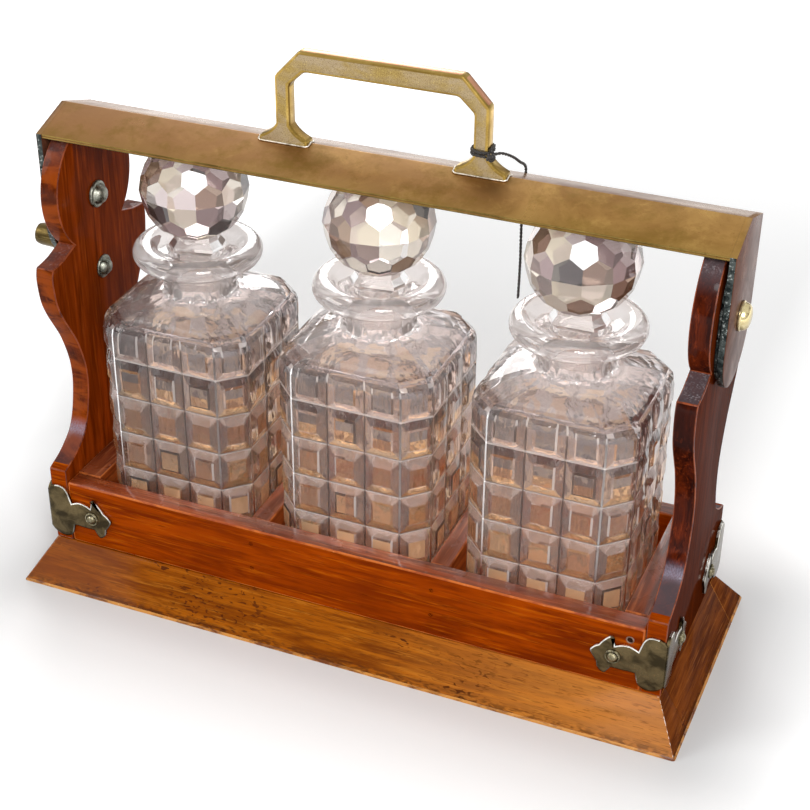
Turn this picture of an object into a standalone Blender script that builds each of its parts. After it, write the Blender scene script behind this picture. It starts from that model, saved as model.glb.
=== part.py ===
"""A three-bottle carafe stand whose locking bar swings over the stoppers.

Lengths are metres and +Z is up. The origin is on the table under the middle of the plinth.
+X runs along the stand to the right, and -Y is its front.
"""

import math

import bmesh
import bpy
from mathutils import Matrix, Vector

# Clearances and drawing values
FIT_GAP = 0.0003
CUT_OVERRUN = 0.004
WELD_DISTANCE = 0.00001
ROUND_SIDES = 24
SMALL_SIDES = 12
ROUND_ANGLE = math.radians(35)

# Plinth: a frame of four strips with a sloping top, round a base board
PLINTH_END_LEDGE = 0.01395
PLINTH_SIDE_LEDGE = 0.01655
PLINTH_HEIGHT = 0.0231
PLINTH_FOOT_EDGE = 0.002
PLINTH_STRIP_WIDTH = 0.0255
PLINTH_CORNER_RADIUS = 0.0016
BASE_BOARD_THICKNESS = 0.011

# Gallery: two rails between two uprights, with two dividers and two end strips inside
RAIL_HEIGHT = 0.038
RAIL_THICKNESS = 0.0108
RAIL_CLEARANCE = 0.0006
DIVIDER_THICKNESS = 0.0105
DIVIDER_HEIGHT = 0.0367
DIVIDER_CLEARANCE = 0.00185
END_CLEARANCE = 0.002225
END_STRIP_THICKNESS = 0.0136
WOOD_ARRIS = 0.0007
PEG_RADIUS = 0.00125
PEG_HEIGHTS = (0.0131, 0.0286)

# Uprights: a step, a waist, a shoulder and a round lobe at the pivot
UPRIGHT_THICKNESS = 0.01015
STEP_HEIGHT = 0.0446
LOBE_RADIUS = 0.0353
LOBE_OVER_PIVOT = 0.007
LOBE_FOOT_ANGLE = math.radians(55.8117)
LOBE_POINTS = 11
SCROLL_SHARES = (
    (0.958, 0.009),
    (0.816, 0.034),
    (0.684, 0.073),
    (0.584, 0.117),
    (0.511, 0.192),
    (0.462, 0.295),
    (0.451, 0.376),
    (0.480, 0.466),
    (0.566, 0.580),
    (0.650, 0.654),
    (0.754, 0.739),
    (0.821, 0.816),
    (0.849, 0.897),
    (0.850, 0.949),
    (0.830, 0.989),
    (0.730, 0.993),
    (0.630, 1.000),
)

# Locking bar: a gabled sheet with turned-down lips, two end arms and the pivots
BAR_HALF_WIDTH = 0.0252
BAR_EAVES_RISE = 0.03995
BAR_GABLE_RISE = 0.00821
RIDGE_OVER_STOPPER = 0.00696
BAR_SHEET = 0.0015
BAR_LIP = 0.00225
ARM_THICKNESS = 0.00315
ARM_HALF_WIDTH = 0.0255
ARM_ROUND_DROP = 0.009
ARM_POINTS = 17
PIVOT_PLATE_THICKNESS = 0.001
PIVOT_PLATE_ROOM = 0.00105
PIVOT_PLATE_RADIUS = 0.0235
PIVOT_PLATE_DROP = 0.008
PIVOT_PLATE_RISE = 0.008
PIVOT_WASHER_RADIUS = 0.0115
PIVOT_SHANK_RADIUS = 0.003
PIVOT_HEAD_RADIUS = 0.0072
PIVOT_HEAD_FLANGE = 0.0016
PIVOT_DOME_RADIUS = 0.0052
PIVOT_DOME_HEIGHT = 0.0040
KNOB_BASE_RADIUS = 0.0072
KNOB_TOP_RADIUS = 0.0048
KNOB_HEIGHT = 0.0048
KNOB_BORE_DEPTH = 0.003

# Carry handle: an octagonal bail on two flared feet
HANDLE_HEIGHT = 0.04594
HANDLE_HALF_LENGTH = 0.054
HANDLE_HALF_TOP = 0.041
HANDLE_SHOULDER_DROP = 0.0136
HANDLE_DEPTH = 0.0077
HANDLE_LEG_WIDTH = 0.0076
HANDLE_TOP_WIDTH = 0.0103
HANDLE_INNER_HALF_TOP = 0.0387
HANDLE_INNER_SHOULDER_DROP = 0.007
HANDLE_EDGE = 0.0015
FOOT_HALF_LENGTH = 0.013
FOOT_FLARE_RISE = 0.0085
FOOT_EDGE_RISE = 0.0016
FLARE_POINTS = 5

# Lock on the left arm, and the keeper bolt under the left pivot
LOCK_FORWARD = 0.014
LOCK_DROP = 0.0215
LOCK_BASE_RADIUS = 0.0066
LOCK_END_RADIUS = 0.0053
LOCK_HEIGHT = 0.012
LOCK_CORE_RADIUS = 0.0035
LOCK_CORE_RECESS = 0.0005
KEY_SLOT_WIDTH = 0.0012
KEY_SLOT_LENGTH = 0.0044
KEY_SLOT_DEPTH = 0.006
TONGUE_THICKNESS = 0.0012
TONGUE_HALF_WIDTH = 0.0052
TONGUE_END_RADIUS = 0.0066
TONGUE_OPEN_ANGLE = math.radians(75)
KEEPER_DROP = 0.0415
KEEPER_SHANK_RADIUS = 0.0026
KEEPER_HEAD_RADIUS = 0.0063
KEEPER_FLANGE = 0.0014
KEEPER_DOME_RADIUS = 0.0044
KEEPER_DOME_HEIGHT = 0.0030
KEEPER_PROUD = 0.0018
KEEPER_CLEARANCE = 0.0009

# Corner brackets: a bent plate with a three-lobed leaf on each face
BRACKET_REACH = 0.0365
BRACKET_HALF_HEIGHT = 0.0166
BRACKET_RISE = 0.019
BRACKET_SHEET = 0.0012
PIN_REACH = 0.025
PIN_HEAD_RADIUS = 0.0028
PIN_HEAD_HEIGHT = 0.0015
PIN_SHANK_RADIUS = 0.0011
PIN_SHANK_LENGTH = 0.0075
LEAF_SHARES = (
    (0.08, 0.97),
    (0.21, 1.00),
    (0.29, 0.90),
    (0.31, 0.54),
    (0.345, 0.31),
    (0.44, 0.24),
    (0.535, 0.30),
    (0.56, 0.51),
    (0.63, 0.675),
    (0.71, 0.70),
    (0.795, 0.58),
    (0.827, 0.385),
    (0.83, 0.29),
    (0.915, 0.277),
    (0.986, 0.157),
)
CORNER_HEIGHT_SHARE = 0.86

# Decanters: square bodies with cut corners, a round neck and a wide lip
DECANTER_DRIFTS = {"left": -0.0011, "middle": -0.0014, "right": 0.0}
DECANTER_HALF_WIDTH = 0.0434
DECANTER_CORNER = 0.0133
DECANTER_FOOT_BEVEL = 0.0016
DECANTER_SHOULDER_HEIGHT = 0.0145
DECANTER_NECK_FOOT = 0.1425
DECANTER_NECK_RADIUS = 0.0194
DECANTER_NECK_LENGTH = 0.0115
DECANTER_LIP_RADIUS = 0.0334
DECANTER_LIP_RISE = 0.0093
DECANTER_LIP_HALF_THICKNESS = 0.005
DECANTER_WELL_RADIUS = 0.0217
DECANTER_WELL_DEPTH = 0.0024
GLASS_WALL = 0.0062
GLASS_FLOOR = 0.0105
NECK_BORE_TOP_RADIUS = 0.0118
NECK_BORE_FOOT_RADIUS = 0.0106
SIDE_STEPS = 4
CORNER_STEPS = 2
SHOULDER_SHARES = (
    (0.975, 0.30, 0.04),
    (0.905, 0.52, 0.14),
    (0.790, 0.68, 0.32),
    (0.640, 0.80, 0.58),
    (0.520, 0.90, 0.86),
)

# Stoppers: a faceted ball on a short neck over a ground peg
STOPPER_RADIUS = 0.0276
STOPPER_RISE = 0.0341
STOPPER_NECK_RADIUS = 0.0132
STOPPER_FLANGE_RADIUS = 0.0150
PEG_GROUND_LENGTH = 0.022
STOPPER_TURN_SIDES = 20
BALL_POINTS = 9

# Black thread round the right leg of the handle
THREAD_DIAMETER = 0.0012
THREAD_START_ANGLE = math.radians(-80)
THREAD_SWEEP = math.radians(660)
THREAD_TURN_POINTS = 16
THREAD_LEG_GAP = 0.0004
THREAD_TURN_GAP = 0.0005
THREAD_CORNER_POWER = 3.4
THREAD_RISE_OVER_FLARE = 0.0012
THREAD_STEP = 0.0029
THREAD_RESOLUTION = 2
KNOT_RADIUS = 0.0019
KNOT_OUT = 0.0058
KNOT_RISE = 0.0004
THREAD_ROUTE = (
    (0.0565, -0.0030, 0.2667),
    (0.0590, -0.0002, 0.2664),
    (0.0612, 0.0042, 0.2642),
    (0.0626, 0.0100, 0.2606),
    (0.0630, 0.0164, 0.2563),
    (0.0629, 0.0219, 0.2533),
    (0.0626, 0.0260, 0.2501),
    (0.0623, 0.0278, 0.2455),
    (0.0620, 0.0279, 0.2390),
    (0.0617, 0.0274, 0.2300),
    (0.0617, 0.0268, 0.2200),
    (0.0619, 0.0267, 0.2100),
    (0.0621, 0.0266, 0.2000),
    (0.0621, 0.0264, 0.1900),
    (0.0620, 0.0262, 0.1800),
)

# Places worked out from the sizes above
FLOOR_HEIGHT = PLINTH_HEIGHT + FIT_GAP
DECANTER_FOOT = FLOOR_HEIGHT + FIT_GAP
DECANTER_WALL_TOP = DECANTER_NECK_FOOT - DECANTER_SHOULDER_HEIGHT
DECANTER_NECK_TOP = DECANTER_NECK_FOOT + DECANTER_NECK_LENGTH
DECANTER_LIP_HEIGHT = DECANTER_NECK_TOP + DECANTER_LIP_RISE
STOPPER_TOP = DECANTER_FOOT + DECANTER_LIP_HEIGHT + STOPPER_RISE + STOPPER_RADIUS
RAIL_INNER = DECANTER_HALF_WIDTH + RAIL_CLEARANCE
GALLERY_SIDE = RAIL_INNER + RAIL_THICKNESS
DIVIDER_PLACE = DECANTER_HALF_WIDTH + DIVIDER_CLEARANCE + DIVIDER_THICKNESS / 2
DIVIDER_OUTER = DIVIDER_PLACE + DIVIDER_THICKNESS / 2
END_STRIP_INNER = DIVIDER_OUTER + 2 * (DECANTER_HALF_WIDTH + END_CLEARANCE)
OUTER_COMPARTMENT = (DIVIDER_OUTER + END_STRIP_INNER) / 2
RAIL_END = END_STRIP_INNER + END_STRIP_THICKNESS
UPRIGHT_INNER = RAIL_END + FIT_GAP
GALLERY_END = UPRIGHT_INNER + UPRIGHT_THICKNESS
PLINTH_LENGTH = 2 * (GALLERY_END + PLINTH_END_LEDGE)
PLINTH_DEPTH = 2 * (GALLERY_SIDE + PLINTH_SIDE_LEDGE)
RAIL_TOP = FLOOR_HEIGHT + RAIL_HEIGHT
STEP_TOP = FLOOR_HEIGHT + STEP_HEIGHT
ARM_INNER = GALLERY_END + PIVOT_PLATE_THICKNESS + PIVOT_PLATE_ROOM
BAR_END = ARM_INNER + ARM_THICKNESS
BAR_LENGTH = 2 * BAR_END
RIDGE_HEIGHT = STOPPER_TOP + RIDGE_OVER_STOPPER
EAVES_HEIGHT = RIDGE_HEIGHT - BAR_GABLE_RISE
PIVOT_HEIGHT = EAVES_HEIGHT - BAR_EAVES_RISE
LOBE_HEIGHT = PIVOT_HEIGHT + LOBE_OVER_PIVOT
SHOULDER_TOP = LOBE_HEIGHT - LOBE_RADIUS * math.sin(LOBE_FOOT_ANGLE) - FIT_GAP
SHOULDER_RISE = SHOULDER_TOP - STEP_TOP
LIP_HEIGHT = EAVES_HEIGHT - BAR_LIP
ROOF_SLOPE = (RIDGE_HEIGHT - EAVES_HEIGHT) / BAR_HALF_WIDTH
HANDLE_TOP = RIDGE_HEIGHT + HANDLE_HEIGHT
LEG_PLACE = HANDLE_HALF_LENGTH - HANDLE_LEG_WIDTH / 2
LOCK_PLACE = Vector((-BAR_END, -LOCK_FORWARD, PIVOT_HEIGHT - LOCK_DROP))
KEEPER_HEIGHT = PIVOT_HEIGHT - KEEPER_DROP
BRACKET_HEIGHT = FLOOR_HEIGHT + BRACKET_RISE


def clear_scene():
    for old in list(bpy.data.objects):
        bpy.data.objects.remove(old)


def new_collection(name):
    collection = bpy.data.collections.new(name)
    bpy.context.scene.collection.children.link(collection)
    return collection


def new_material(name, colour, roughness, metallic=0.0, transmission=0.0):
    material = bpy.data.materials.new(name)
    material.use_nodes = True
    shader = material.node_tree.nodes["Principled BSDF"]
    shader.inputs["Base Color"].default_value = (*colour, 1.0)
    shader.inputs["Roughness"].default_value = roughness
    shader.inputs["Metallic"].default_value = metallic
    shader.inputs["Transmission Weight"].default_value = transmission
    return material


clear_scene()
STAND = new_collection("carafe_stand")
CUTTERS = new_collection("cutters")
MAHOGANY = new_material("mahogany", (0.26, 0.055, 0.018), 0.28)
OAK = new_material("oak", (0.38, 0.15, 0.045), 0.32)
BRASS = new_material("brass", (0.48, 0.34, 0.13), 0.3, metallic=1.0)
NICKEL = new_material("nickel", (0.25, 0.23, 0.17), 0.35, metallic=1.0)
STEEL = new_material("steel", (0.18, 0.18, 0.18), 0.4, metallic=1.0)
GLASS = new_material("glass", (0.95, 0.93, 0.91), 0.03, transmission=1.0)
THREAD = new_material("thread", (0.012, 0.012, 0.013), 0.8)


def own_material(name, kind):
    """Each piece has its own copy of its kind of material."""
    material = kind.copy()
    material.name = name + "_" + kind.name
    return material


def add_solid(name, mesh, kind, placement=None):
    solid = bpy.data.objects.new(name, mesh)
    STAND.objects.link(solid)
    mesh.materials.clear()
    mesh.materials.append(own_material(name, kind))
    solid.matrix_world = placement or Matrix.Identity(4)
    return solid


def hang_on(solids, empty):
    """Parent the solids to an empty on their joint's axis, without moving them."""
    bpy.context.view_layer.update()
    for solid in solids:
        solid.parent = empty
        solid.matrix_parent_inverse = empty.matrix_world.inverted()


def joint_empty(name, place):
    empty = bpy.data.objects.new(name, None)
    STAND.objects.link(empty)
    empty.location = place
    return empty


def mesh_from(name, build):
    """Run build on a new bmesh and return the mesh, with its faces turned outwards."""
    mesh = bpy.data.meshes.new(name)
    work = bmesh.new()
    build(work)
    bmesh.ops.recalc_face_normals(work, faces=work.faces)
    work.to_mesh(mesh)
    work.free()
    return mesh


def box_mesh(name, low, high):
    low = Vector(low)
    high = Vector(high)
    size = high - low
    place = Matrix.Translation((low + high) / 2) @ Matrix.Diagonal((*size, 1))
    return mesh_from(name, lambda work: bmesh.ops.create_cube(work, size=1, matrix=place))


def box(name, low, high, kind, arris=0.0):
    solid = add_solid(name, box_mesh(name, low, high), kind)
    if arris:
        round_edges(solid, arris)
    return solid


def round_edges(solid, width, segments=1, angle=math.radians(60)):
    bevel = solid.modifiers.new("edges", "BEVEL")
    bevel.width = width
    bevel.segments = segments
    bevel.limit_method = "ANGLE"
    bevel.angle_limit = angle


def axis_frame(place, direction):
    """A placement whose local Z points along direction."""
    turn = Vector((0, 0, 1)).rotation_difference(Vector(direction))
    return Matrix.Translation(place) @ turn.to_matrix().to_4x4()


def rod_mesh(name, radius, length, sides=SMALL_SIDES):
    """A cylinder along local Z from zero to length."""
    place = Matrix.Translation((0, 0, length / 2))

    def build(work):
        bmesh.ops.create_cone(
            work,
            cap_ends=True,
            segments=sides,
            radius1=radius,
            radius2=radius,
            depth=length,
            matrix=place,
        )

    return mesh_from(name, build)


def add_cutter(name, mesh, placement=None):
    cutter = bpy.data.objects.new(name, mesh)
    CUTTERS.objects.link(cutter)
    cutter.matrix_world = placement or Matrix.Identity(4)
    cutter.hide_render = True
    cutter.display_type = "WIRE"
    return cutter


def hole_cutter(name, place, direction, radius, length, sides=SMALL_SIDES):
    """A rod that starts one overrun before place and runs length past it."""
    start = Vector(place) - Vector(direction) * CUT_OVERRUN
    mesh = rod_mesh(name, radius, length + CUT_OVERRUN, sides)
    return add_cutter(name, mesh, axis_frame(start, direction))


def cut(solid, cutter, operation="DIFFERENCE"):
    boolean = solid.modifiers.new(cutter.name, "BOOLEAN")
    boolean.operation = operation
    boolean.object = cutter


PLANES = {
    "front": Matrix(((1, 0, 0, 0), (0, 0, -1, 0), (0, 1, 0, 0), (0, 0, 0, 1))),
    "side": Matrix(((0, 0, 1, 0), (1, 0, 0, 0), (0, 1, 0, 0), (0, 0, 0, 1))),
}


def outline_mesh(name, outline, thickness):
    """Fill a flat outline, give it a thickness, and weld its caps to its walls."""
    drawing = bpy.data.curves.new(name + "_outline", "CURVE")
    drawing.dimensions = "2D"
    drawing.fill_mode = "BOTH"
    drawing.extrude = thickness / 2
    spline = drawing.splines.new("POLY")
    spline.points.add(len(outline) - 1)
    for point, (across, up) in zip(spline.points, outline):
        point.co = (across, up, 0, 1)
    spline.use_cyclic_u = True
    holder = bpy.data.objects.new(name + "_outline", drawing)
    STAND.objects.link(holder)
    graph = bpy.context.evaluated_depsgraph_get()
    mesh = bpy.data.meshes.new_from_object(holder.evaluated_get(graph))
    bpy.data.objects.remove(holder)
    work = bmesh.new()
    work.from_mesh(mesh)
    bmesh.ops.remove_doubles(work, verts=work.verts, dist=WELD_DISTANCE)
    bmesh.ops.dissolve_limit(
        work, angle_limit=math.radians(1), verts=work.verts, edges=work.edges
    )
    bmesh.ops.recalc_face_normals(work, faces=work.faces)
    work.to_mesh(mesh)
    work.free()
    return mesh


def plate(name, outline, thickness, plane, middle, kind):
    """A flat plate: plane is front or side, and middle is where its mid-thickness lies."""
    place = Matrix.Translation(middle) @ PLANES[plane]
    return add_solid(name, outline_mesh(name, outline, thickness), kind, place)


def arc(centre, radius, start, stop, count):
    points = []
    for index in range(count):
        angle = start + (stop - start) * index / (count - 1)
        across = centre[0] + radius * math.cos(angle)
        up = centre[1] + radius * math.sin(angle)
        points.append((across, up))
    return points


def both_sides(half):
    """Mirror a half outline, given from bottom to top, on to the other side."""
    mirrored = [(-across, up) for across, up in reversed(half) if across > 0]
    return half + mirrored


def turned(name, profile, placement, kind, sides=ROUND_SIDES, ring=False):
    """Turn a profile of radius and height about local Z. It runs down its outer side."""
    count = len(profile)
    edges = [(index, index + 1) for index in range(count - 1)]
    if ring:
        edges.append((count - 1, 0))
    mesh = bpy.data.meshes.new(name)
    mesh.from_pydata([(radius, 0, height) for radius, height in profile], edges, [])
    solid = add_solid(name, mesh, kind, placement)
    screw = solid.modifiers.new("turn", "SCREW")
    screw.steps = sides
    screw.render_steps = sides
    screw.use_merge_vertices = True
    screw.merge_threshold = WELD_DISTANCE
    screw.use_smooth_shade = True
    return solid


# Plinth
def plinth_strip(name, keep_low, keep_high):
    """The sloping plinth, kept only inside a box."""

    def build(work):
        size = Matrix.Diagonal((PLINTH_LENGTH, PLINTH_DEPTH, PLINTH_HEIGHT, 1))
        lift = Matrix.Translation((0, 0, PLINTH_HEIGHT / 2))
        bmesh.ops.create_cube(work, size=1, matrix=lift @ size)
        bmesh.ops.bisect_plane(
            work,
            geom=work.verts[:] + work.edges[:] + work.faces[:],
            plane_co=(0, 0, PLINTH_FOOT_EDGE),
            plane_no=(0, 0, 1),
        )
        for vert in work.verts:
            if vert.co.z > PLINTH_HEIGHT - WELD_DISTANCE:
                vert.co.x = math.copysign(GALLERY_END, vert.co.x)
                vert.co.y = math.copysign(GALLERY_SIDE, vert.co.y)
        corners = []
        for edge in work.edges:
            low, high = edge.verts
            climbs = abs(low.co.z - high.co.z) > WELD_DISTANCE
            if climbs:
                corners.append(edge)
        bmesh.ops.bevel(
            work,
            geom=corners,
            offset=PLINTH_CORNER_RADIUS,
            segments=2,
            profile=0.5,
            affect="EDGES",
        )

    strip = add_solid(name, mesh_from(name, build), OAK)
    cut(strip, add_cutter(name + "_length", box_mesh(name, keep_low, keep_high)), "INTERSECT")
    return strip


def make_plinth():
    joint_side = PLINTH_DEPTH / 2 - PLINTH_STRIP_WIDTH
    joint_end = PLINTH_LENGTH / 2 - PLINTH_STRIP_WIDTH
    far_end = PLINTH_LENGTH / 2 + CUT_OVERRUN
    far_side = PLINTH_DEPTH / 2 + CUT_OVERRUN
    under = -CUT_OVERRUN
    over = PLINTH_HEIGHT + CUT_OVERRUN
    plinth_strip("plinth_front", (-far_end, -far_side, under), (far_end, -joint_side, over))
    plinth_strip("plinth_back", (-far_end, joint_side, under), (far_end, far_side, over))
    side = joint_side - FIT_GAP
    plinth_strip("plinth_left", (-far_end, -side, under), (-joint_end, side, over))
    plinth_strip("plinth_right", (joint_end, -side, under), (far_end, side, over))
    end = joint_end - FIT_GAP
    low = PLINTH_HEIGHT - BASE_BOARD_THICKNESS
    box("base_board", (-end, -side, low), (end, side, PLINTH_HEIGHT), OAK)


# Gallery
def make_gallery():
    pin_x = GALLERY_END - PIN_REACH
    pegs = []
    for name, side in (("front", -1), ("back", 1)):
        outer = side * GALLERY_SIDE
        inner = side * RAIL_INNER
        low = (-RAIL_END, min(outer, inner), FLOOR_HEIGHT)
        high = (RAIL_END, max(outer, inner), RAIL_TOP)
        rail = box("rail_" + name, low, high, MAHOGANY, WOOD_ARRIS)
        for end in (-1, 1):
            place = (end * pin_x, outer, BRACKET_HEIGHT)
            hole = pin_hole(f"pin_hole_{name}_{end}", place, (0, -side, 0))
            cut(rail, hole)
            for rise in PEG_HEIGHTS:
                place = Vector((end * DIVIDER_PLACE, outer, FLOOR_HEIGHT + rise))
                inward = Vector((0, -side, 0))
                hole = hole_cutter(
                    f"peg_hole_{name}_{end}",
                    place,
                    inward,
                    PEG_RADIUS + FIT_GAP / 2,
                    RAIL_THICKNESS + CUT_OVERRUN,
                )
                cut(rail, hole)
                pegs.append((f"peg_{name}_{len(pegs) % 4 + 1}", axis_frame(place, inward)))
    for name, place in pegs:
        add_solid(name, rod_mesh(name, PEG_RADIUS, RAIL_THICKNESS), MAHOGANY, place)
    inside = RAIL_INNER - FIT_GAP
    for name, side in (("left", -1), ("right", 1)):
        middle = side * DIVIDER_PLACE
        half = DIVIDER_THICKNESS / 2
        top = FLOOR_HEIGHT + DIVIDER_HEIGHT
        low = (middle - half, -inside, FLOOR_HEIGHT)
        box("divider_" + name, low, (middle + half, inside, top), MAHOGANY, WOOD_ARRIS)
        ends = sorted((side * END_STRIP_INNER, side * RAIL_END))
        low = (ends[0], -inside, FLOOR_HEIGHT)
        box("end_strip_" + name, low, (ends[1], inside, RAIL_TOP), MAHOGANY, WOOD_ARRIS)


# Uprights
def upright_outline():
    half = [(GALLERY_SIDE, FLOOR_HEIGHT), (GALLERY_SIDE, STEP_TOP)]
    for out_share, rise_share in SCROLL_SHARES:
        half.append((GALLERY_SIDE * out_share, STEP_TOP + SHOULDER_RISE * rise_share))
    start = math.radians(8) - LOBE_FOOT_ANGLE
    half += arc((0, LOBE_HEIGHT), LOBE_RADIUS, start, math.pi / 2, LOBE_POINTS)
    return both_sides(half)


def make_uprights():
    for name, side in (("left", -1), ("right", 1)):
        middle = side * (UPRIGHT_INNER + UPRIGHT_THICKNESS / 2)
        upright = plate(
            "upright_" + name,
            upright_outline(),
            UPRIGHT_THICKNESS,
            "side",
            (middle, 0, 0),
            MAHOGANY,
        )
        round_edges(upright, WOOD_ARRIS, angle=math.radians(70))
        outward = (side, 0, 0)
        start = (side * UPRIGHT_INNER, 0, PIVOT_HEIGHT)
        through = UPRIGHT_THICKNESS + CUT_OVERRUN
        radius = PIVOT_SHANK_RADIUS + FIT_GAP
        cut(upright, hole_cutter("pivot_hole_" + name, start, outward, radius, through))
        if side < 0:
            start = (side * UPRIGHT_INNER, 0, KEEPER_HEIGHT)
            radius = KEEPER_SHANK_RADIUS + FIT_GAP
            cut(upright, hole_cutter("keeper_hole", start, outward, radius, through))
        for front in (-1, 1):
            place = (side * GALLERY_END, front * (GALLERY_SIDE - PIN_REACH), BRACKET_HEIGHT)
            cut(upright, pin_hole(f"side_pin_hole_{name}_{front}", place, (-side, 0, 0)))


# Corner brackets
def pin_hole(name, place, inward):
    radius = PIN_SHANK_RADIUS + FIT_GAP / 2
    return hole_cutter(name, place, inward, radius, PIN_SHANK_LENGTH + FIT_GAP)


def leaf_outline(sign):
    """Half of the corner column and one leaf, measured from the gallery's corner inward."""
    corner = -(FIT_GAP + BRACKET_SHEET)
    top = [(corner, BRACKET_HALF_HEIGHT * CORNER_HEIGHT_SHARE)]
    for reach_share, height_share in LEAF_SHARES:
        top.append((BRACKET_REACH * reach_share, BRACKET_HALF_HEIGHT * height_share))
    tip = [(BRACKET_REACH, 0)]
    bottom = [(reach, -height) for reach, height in reversed(top)]
    return [(sign * reach, height) for reach, height in top + tip + bottom]


def make_brackets():
    shift = FIT_GAP + BRACKET_SHEET / 2
    for row, front in (("front", -1), ("back", 1)):
        for column, side in (("left", -1), ("right", 1)):
            name = f"corner_bracket_{row}_{column}"
            middle = (side * GALLERY_END, front * (GALLERY_SIDE + shift), BRACKET_HEIGHT)
            outline = leaf_outline(-side)
            bracket = plate(name, outline, BRACKET_SHEET, "front", middle, NICKEL)
            middle = (side * (GALLERY_END + shift), front * GALLERY_SIDE, BRACKET_HEIGHT)
            place = Matrix.Translation(middle) @ PLANES["side"]
            wing_mesh = outline_mesh(name + "_wing", leaf_outline(-front), BRACKET_SHEET)
            wing = add_cutter(name + "_wing", wing_mesh, place)
            cut(bracket, wing, "UNION")
            front_place = (
                side * (GALLERY_END - PIN_REACH),
                front * GALLERY_SIDE,
                BRACKET_HEIGHT,
            )
            side_place = (
                side * GALLERY_END,
                front * (GALLERY_SIDE - PIN_REACH),
                BRACKET_HEIGHT,
            )
            for face, place, inward in (
                ("front", front_place, (0, -front, 0)),
                ("side", side_place, (-side, 0, 0)),
            ):
                cut(bracket, pin_hole(f"{name}_{face}_hole", place, inward))
                make_pin(f"bracket_pin_{row}_{column}_{face}", axis_frame(place, inward))


def make_pin(name, place):
    """A domed head over the leaf, and a shank along local Z into the wood."""
    under = -(FIT_GAP + BRACKET_SHEET + FIT_GAP)
    profile = [
        (0, PIN_SHANK_LENGTH),
        (PIN_SHANK_RADIUS, PIN_SHANK_LENGTH),
        (PIN_SHANK_RADIUS, under),
        (PIN_HEAD_RADIUS, under),
        (PIN_HEAD_RADIUS * math.cos(math.radians(40)), under - PIN_HEAD_HEIGHT * 0.7),
        (0, under - PIN_HEAD_HEIGHT),
    ]
    turned(name, profile, place, NICKEL, sides=SMALL_SIDES)


# Locking bar, arms and handle
def roof_height(side_reach, drop=0.0):
    return RIDGE_HEIGHT - ROOF_SLOPE * abs(side_reach) - drop


def bar_section():
    inner = BAR_HALF_WIDTH - BAR_SHEET
    sheet_drop = BAR_SHEET * math.hypot(1, ROOF_SLOPE)
    half = [
        (inner, LIP_HEIGHT),
        (BAR_HALF_WIDTH, LIP_HEIGHT),
        (BAR_HALF_WIDTH, EAVES_HEIGHT),
    ]
    outer = half + [(0, RIDGE_HEIGHT)] + [(-across, up) for across, up in reversed(half)]
    underside = [
        (-inner, roof_height(inner, sheet_drop)),
        (0, roof_height(0, sheet_drop)),
        (inner, roof_height(inner, sheet_drop)),
    ]
    return outer + underside


def make_bar():
    length = 2 * (ARM_INNER - FIT_GAP)
    return plate("locking_bar", bar_section(), length, "side", (0, 0, 0), BRASS)


def arm_outline():
    centre = (0, PIVOT_HEIGHT - ARM_ROUND_DROP)
    round_end = arc(centre, ARM_HALF_WIDTH, -math.pi / 2, 0, ARM_POINTS)
    eaves = roof_height(ARM_HALF_WIDTH)
    half = round_end + [(ARM_HALF_WIDTH, eaves), (0, RIDGE_HEIGHT)]
    mirrored = [(-across, up) for across, up in reversed(half) if across > WELD_DISTANCE]
    return half + mirrored


def make_arms():
    arms = []
    for name, side in (("left", -1), ("right", 1)):
        middle = (side * (ARM_INNER + ARM_THICKNESS / 2), 0, 0)
        arm = plate("arm_" + name, arm_outline(), ARM_THICKNESS, "side", middle, BRASS)
        outward = (side, 0, 0)
        start = (side * ARM_INNER, 0, PIVOT_HEIGHT)
        through = ARM_THICKNESS + CUT_OVERRUN
        radius = PIVOT_SHANK_RADIUS + FIT_GAP
        cut(arm, hole_cutter("arm_hole_" + name, start, outward, radius, through))
        if side < 0:
            start = (-ARM_INNER, LOCK_PLACE.y, LOCK_PLACE.z)
            radius = LOCK_CORE_RADIUS + FIT_GAP
            cut(arm, hole_cutter("lock_hole", start, outward, radius, through))
        arms.append(arm)
    return arms


def handle_half(foot_under):
    """The right half of the bail, its outer side and then its inner side."""
    flare_top = RIDGE_HEIGHT + FOOT_FLARE_RISE
    edge_top = RIDGE_HEIGHT + FOOT_EDGE_RISE
    inner_leg = HANDLE_HALF_LENGTH - HANDLE_LEG_WIDTH
    flare = []
    for index in range(FLARE_POINTS):
        angle = math.pi / 2 * index / (FLARE_POINTS - 1)
        out_share = 1 - math.sin(angle)
        rise_share = 1 - math.cos(angle)
        flare.append((out_share, rise_share))
    outer_spread = LEG_PLACE + FOOT_HALF_LENGTH - HANDLE_HALF_LENGTH
    inner_spread = inner_leg - (LEG_PLACE - FOOT_HALF_LENGTH)
    rise = flare_top - edge_top
    outer = [(LEG_PLACE + FOOT_HALF_LENGTH, foot_under)]
    for out_share, rise_share in flare:
        outer.append((HANDLE_HALF_LENGTH + outer_spread * out_share, edge_top + rise * rise_share))
    outer.append((HANDLE_HALF_LENGTH, HANDLE_TOP - HANDLE_SHOULDER_DROP))
    outer.append((HANDLE_HALF_TOP, HANDLE_TOP))
    under_top = HANDLE_TOP - HANDLE_TOP_WIDTH
    inner = [(HANDLE_INNER_HALF_TOP, under_top)]
    inner.append((inner_leg, under_top - HANDLE_INNER_SHOULDER_DROP))
    for out_share, rise_share in reversed(flare):
        inner.append((inner_leg - inner_spread * out_share, edge_top + rise * rise_share))
    inner.append((LEG_PLACE - FOOT_HALF_LENGTH, foot_under))
    return outer, inner


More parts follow.
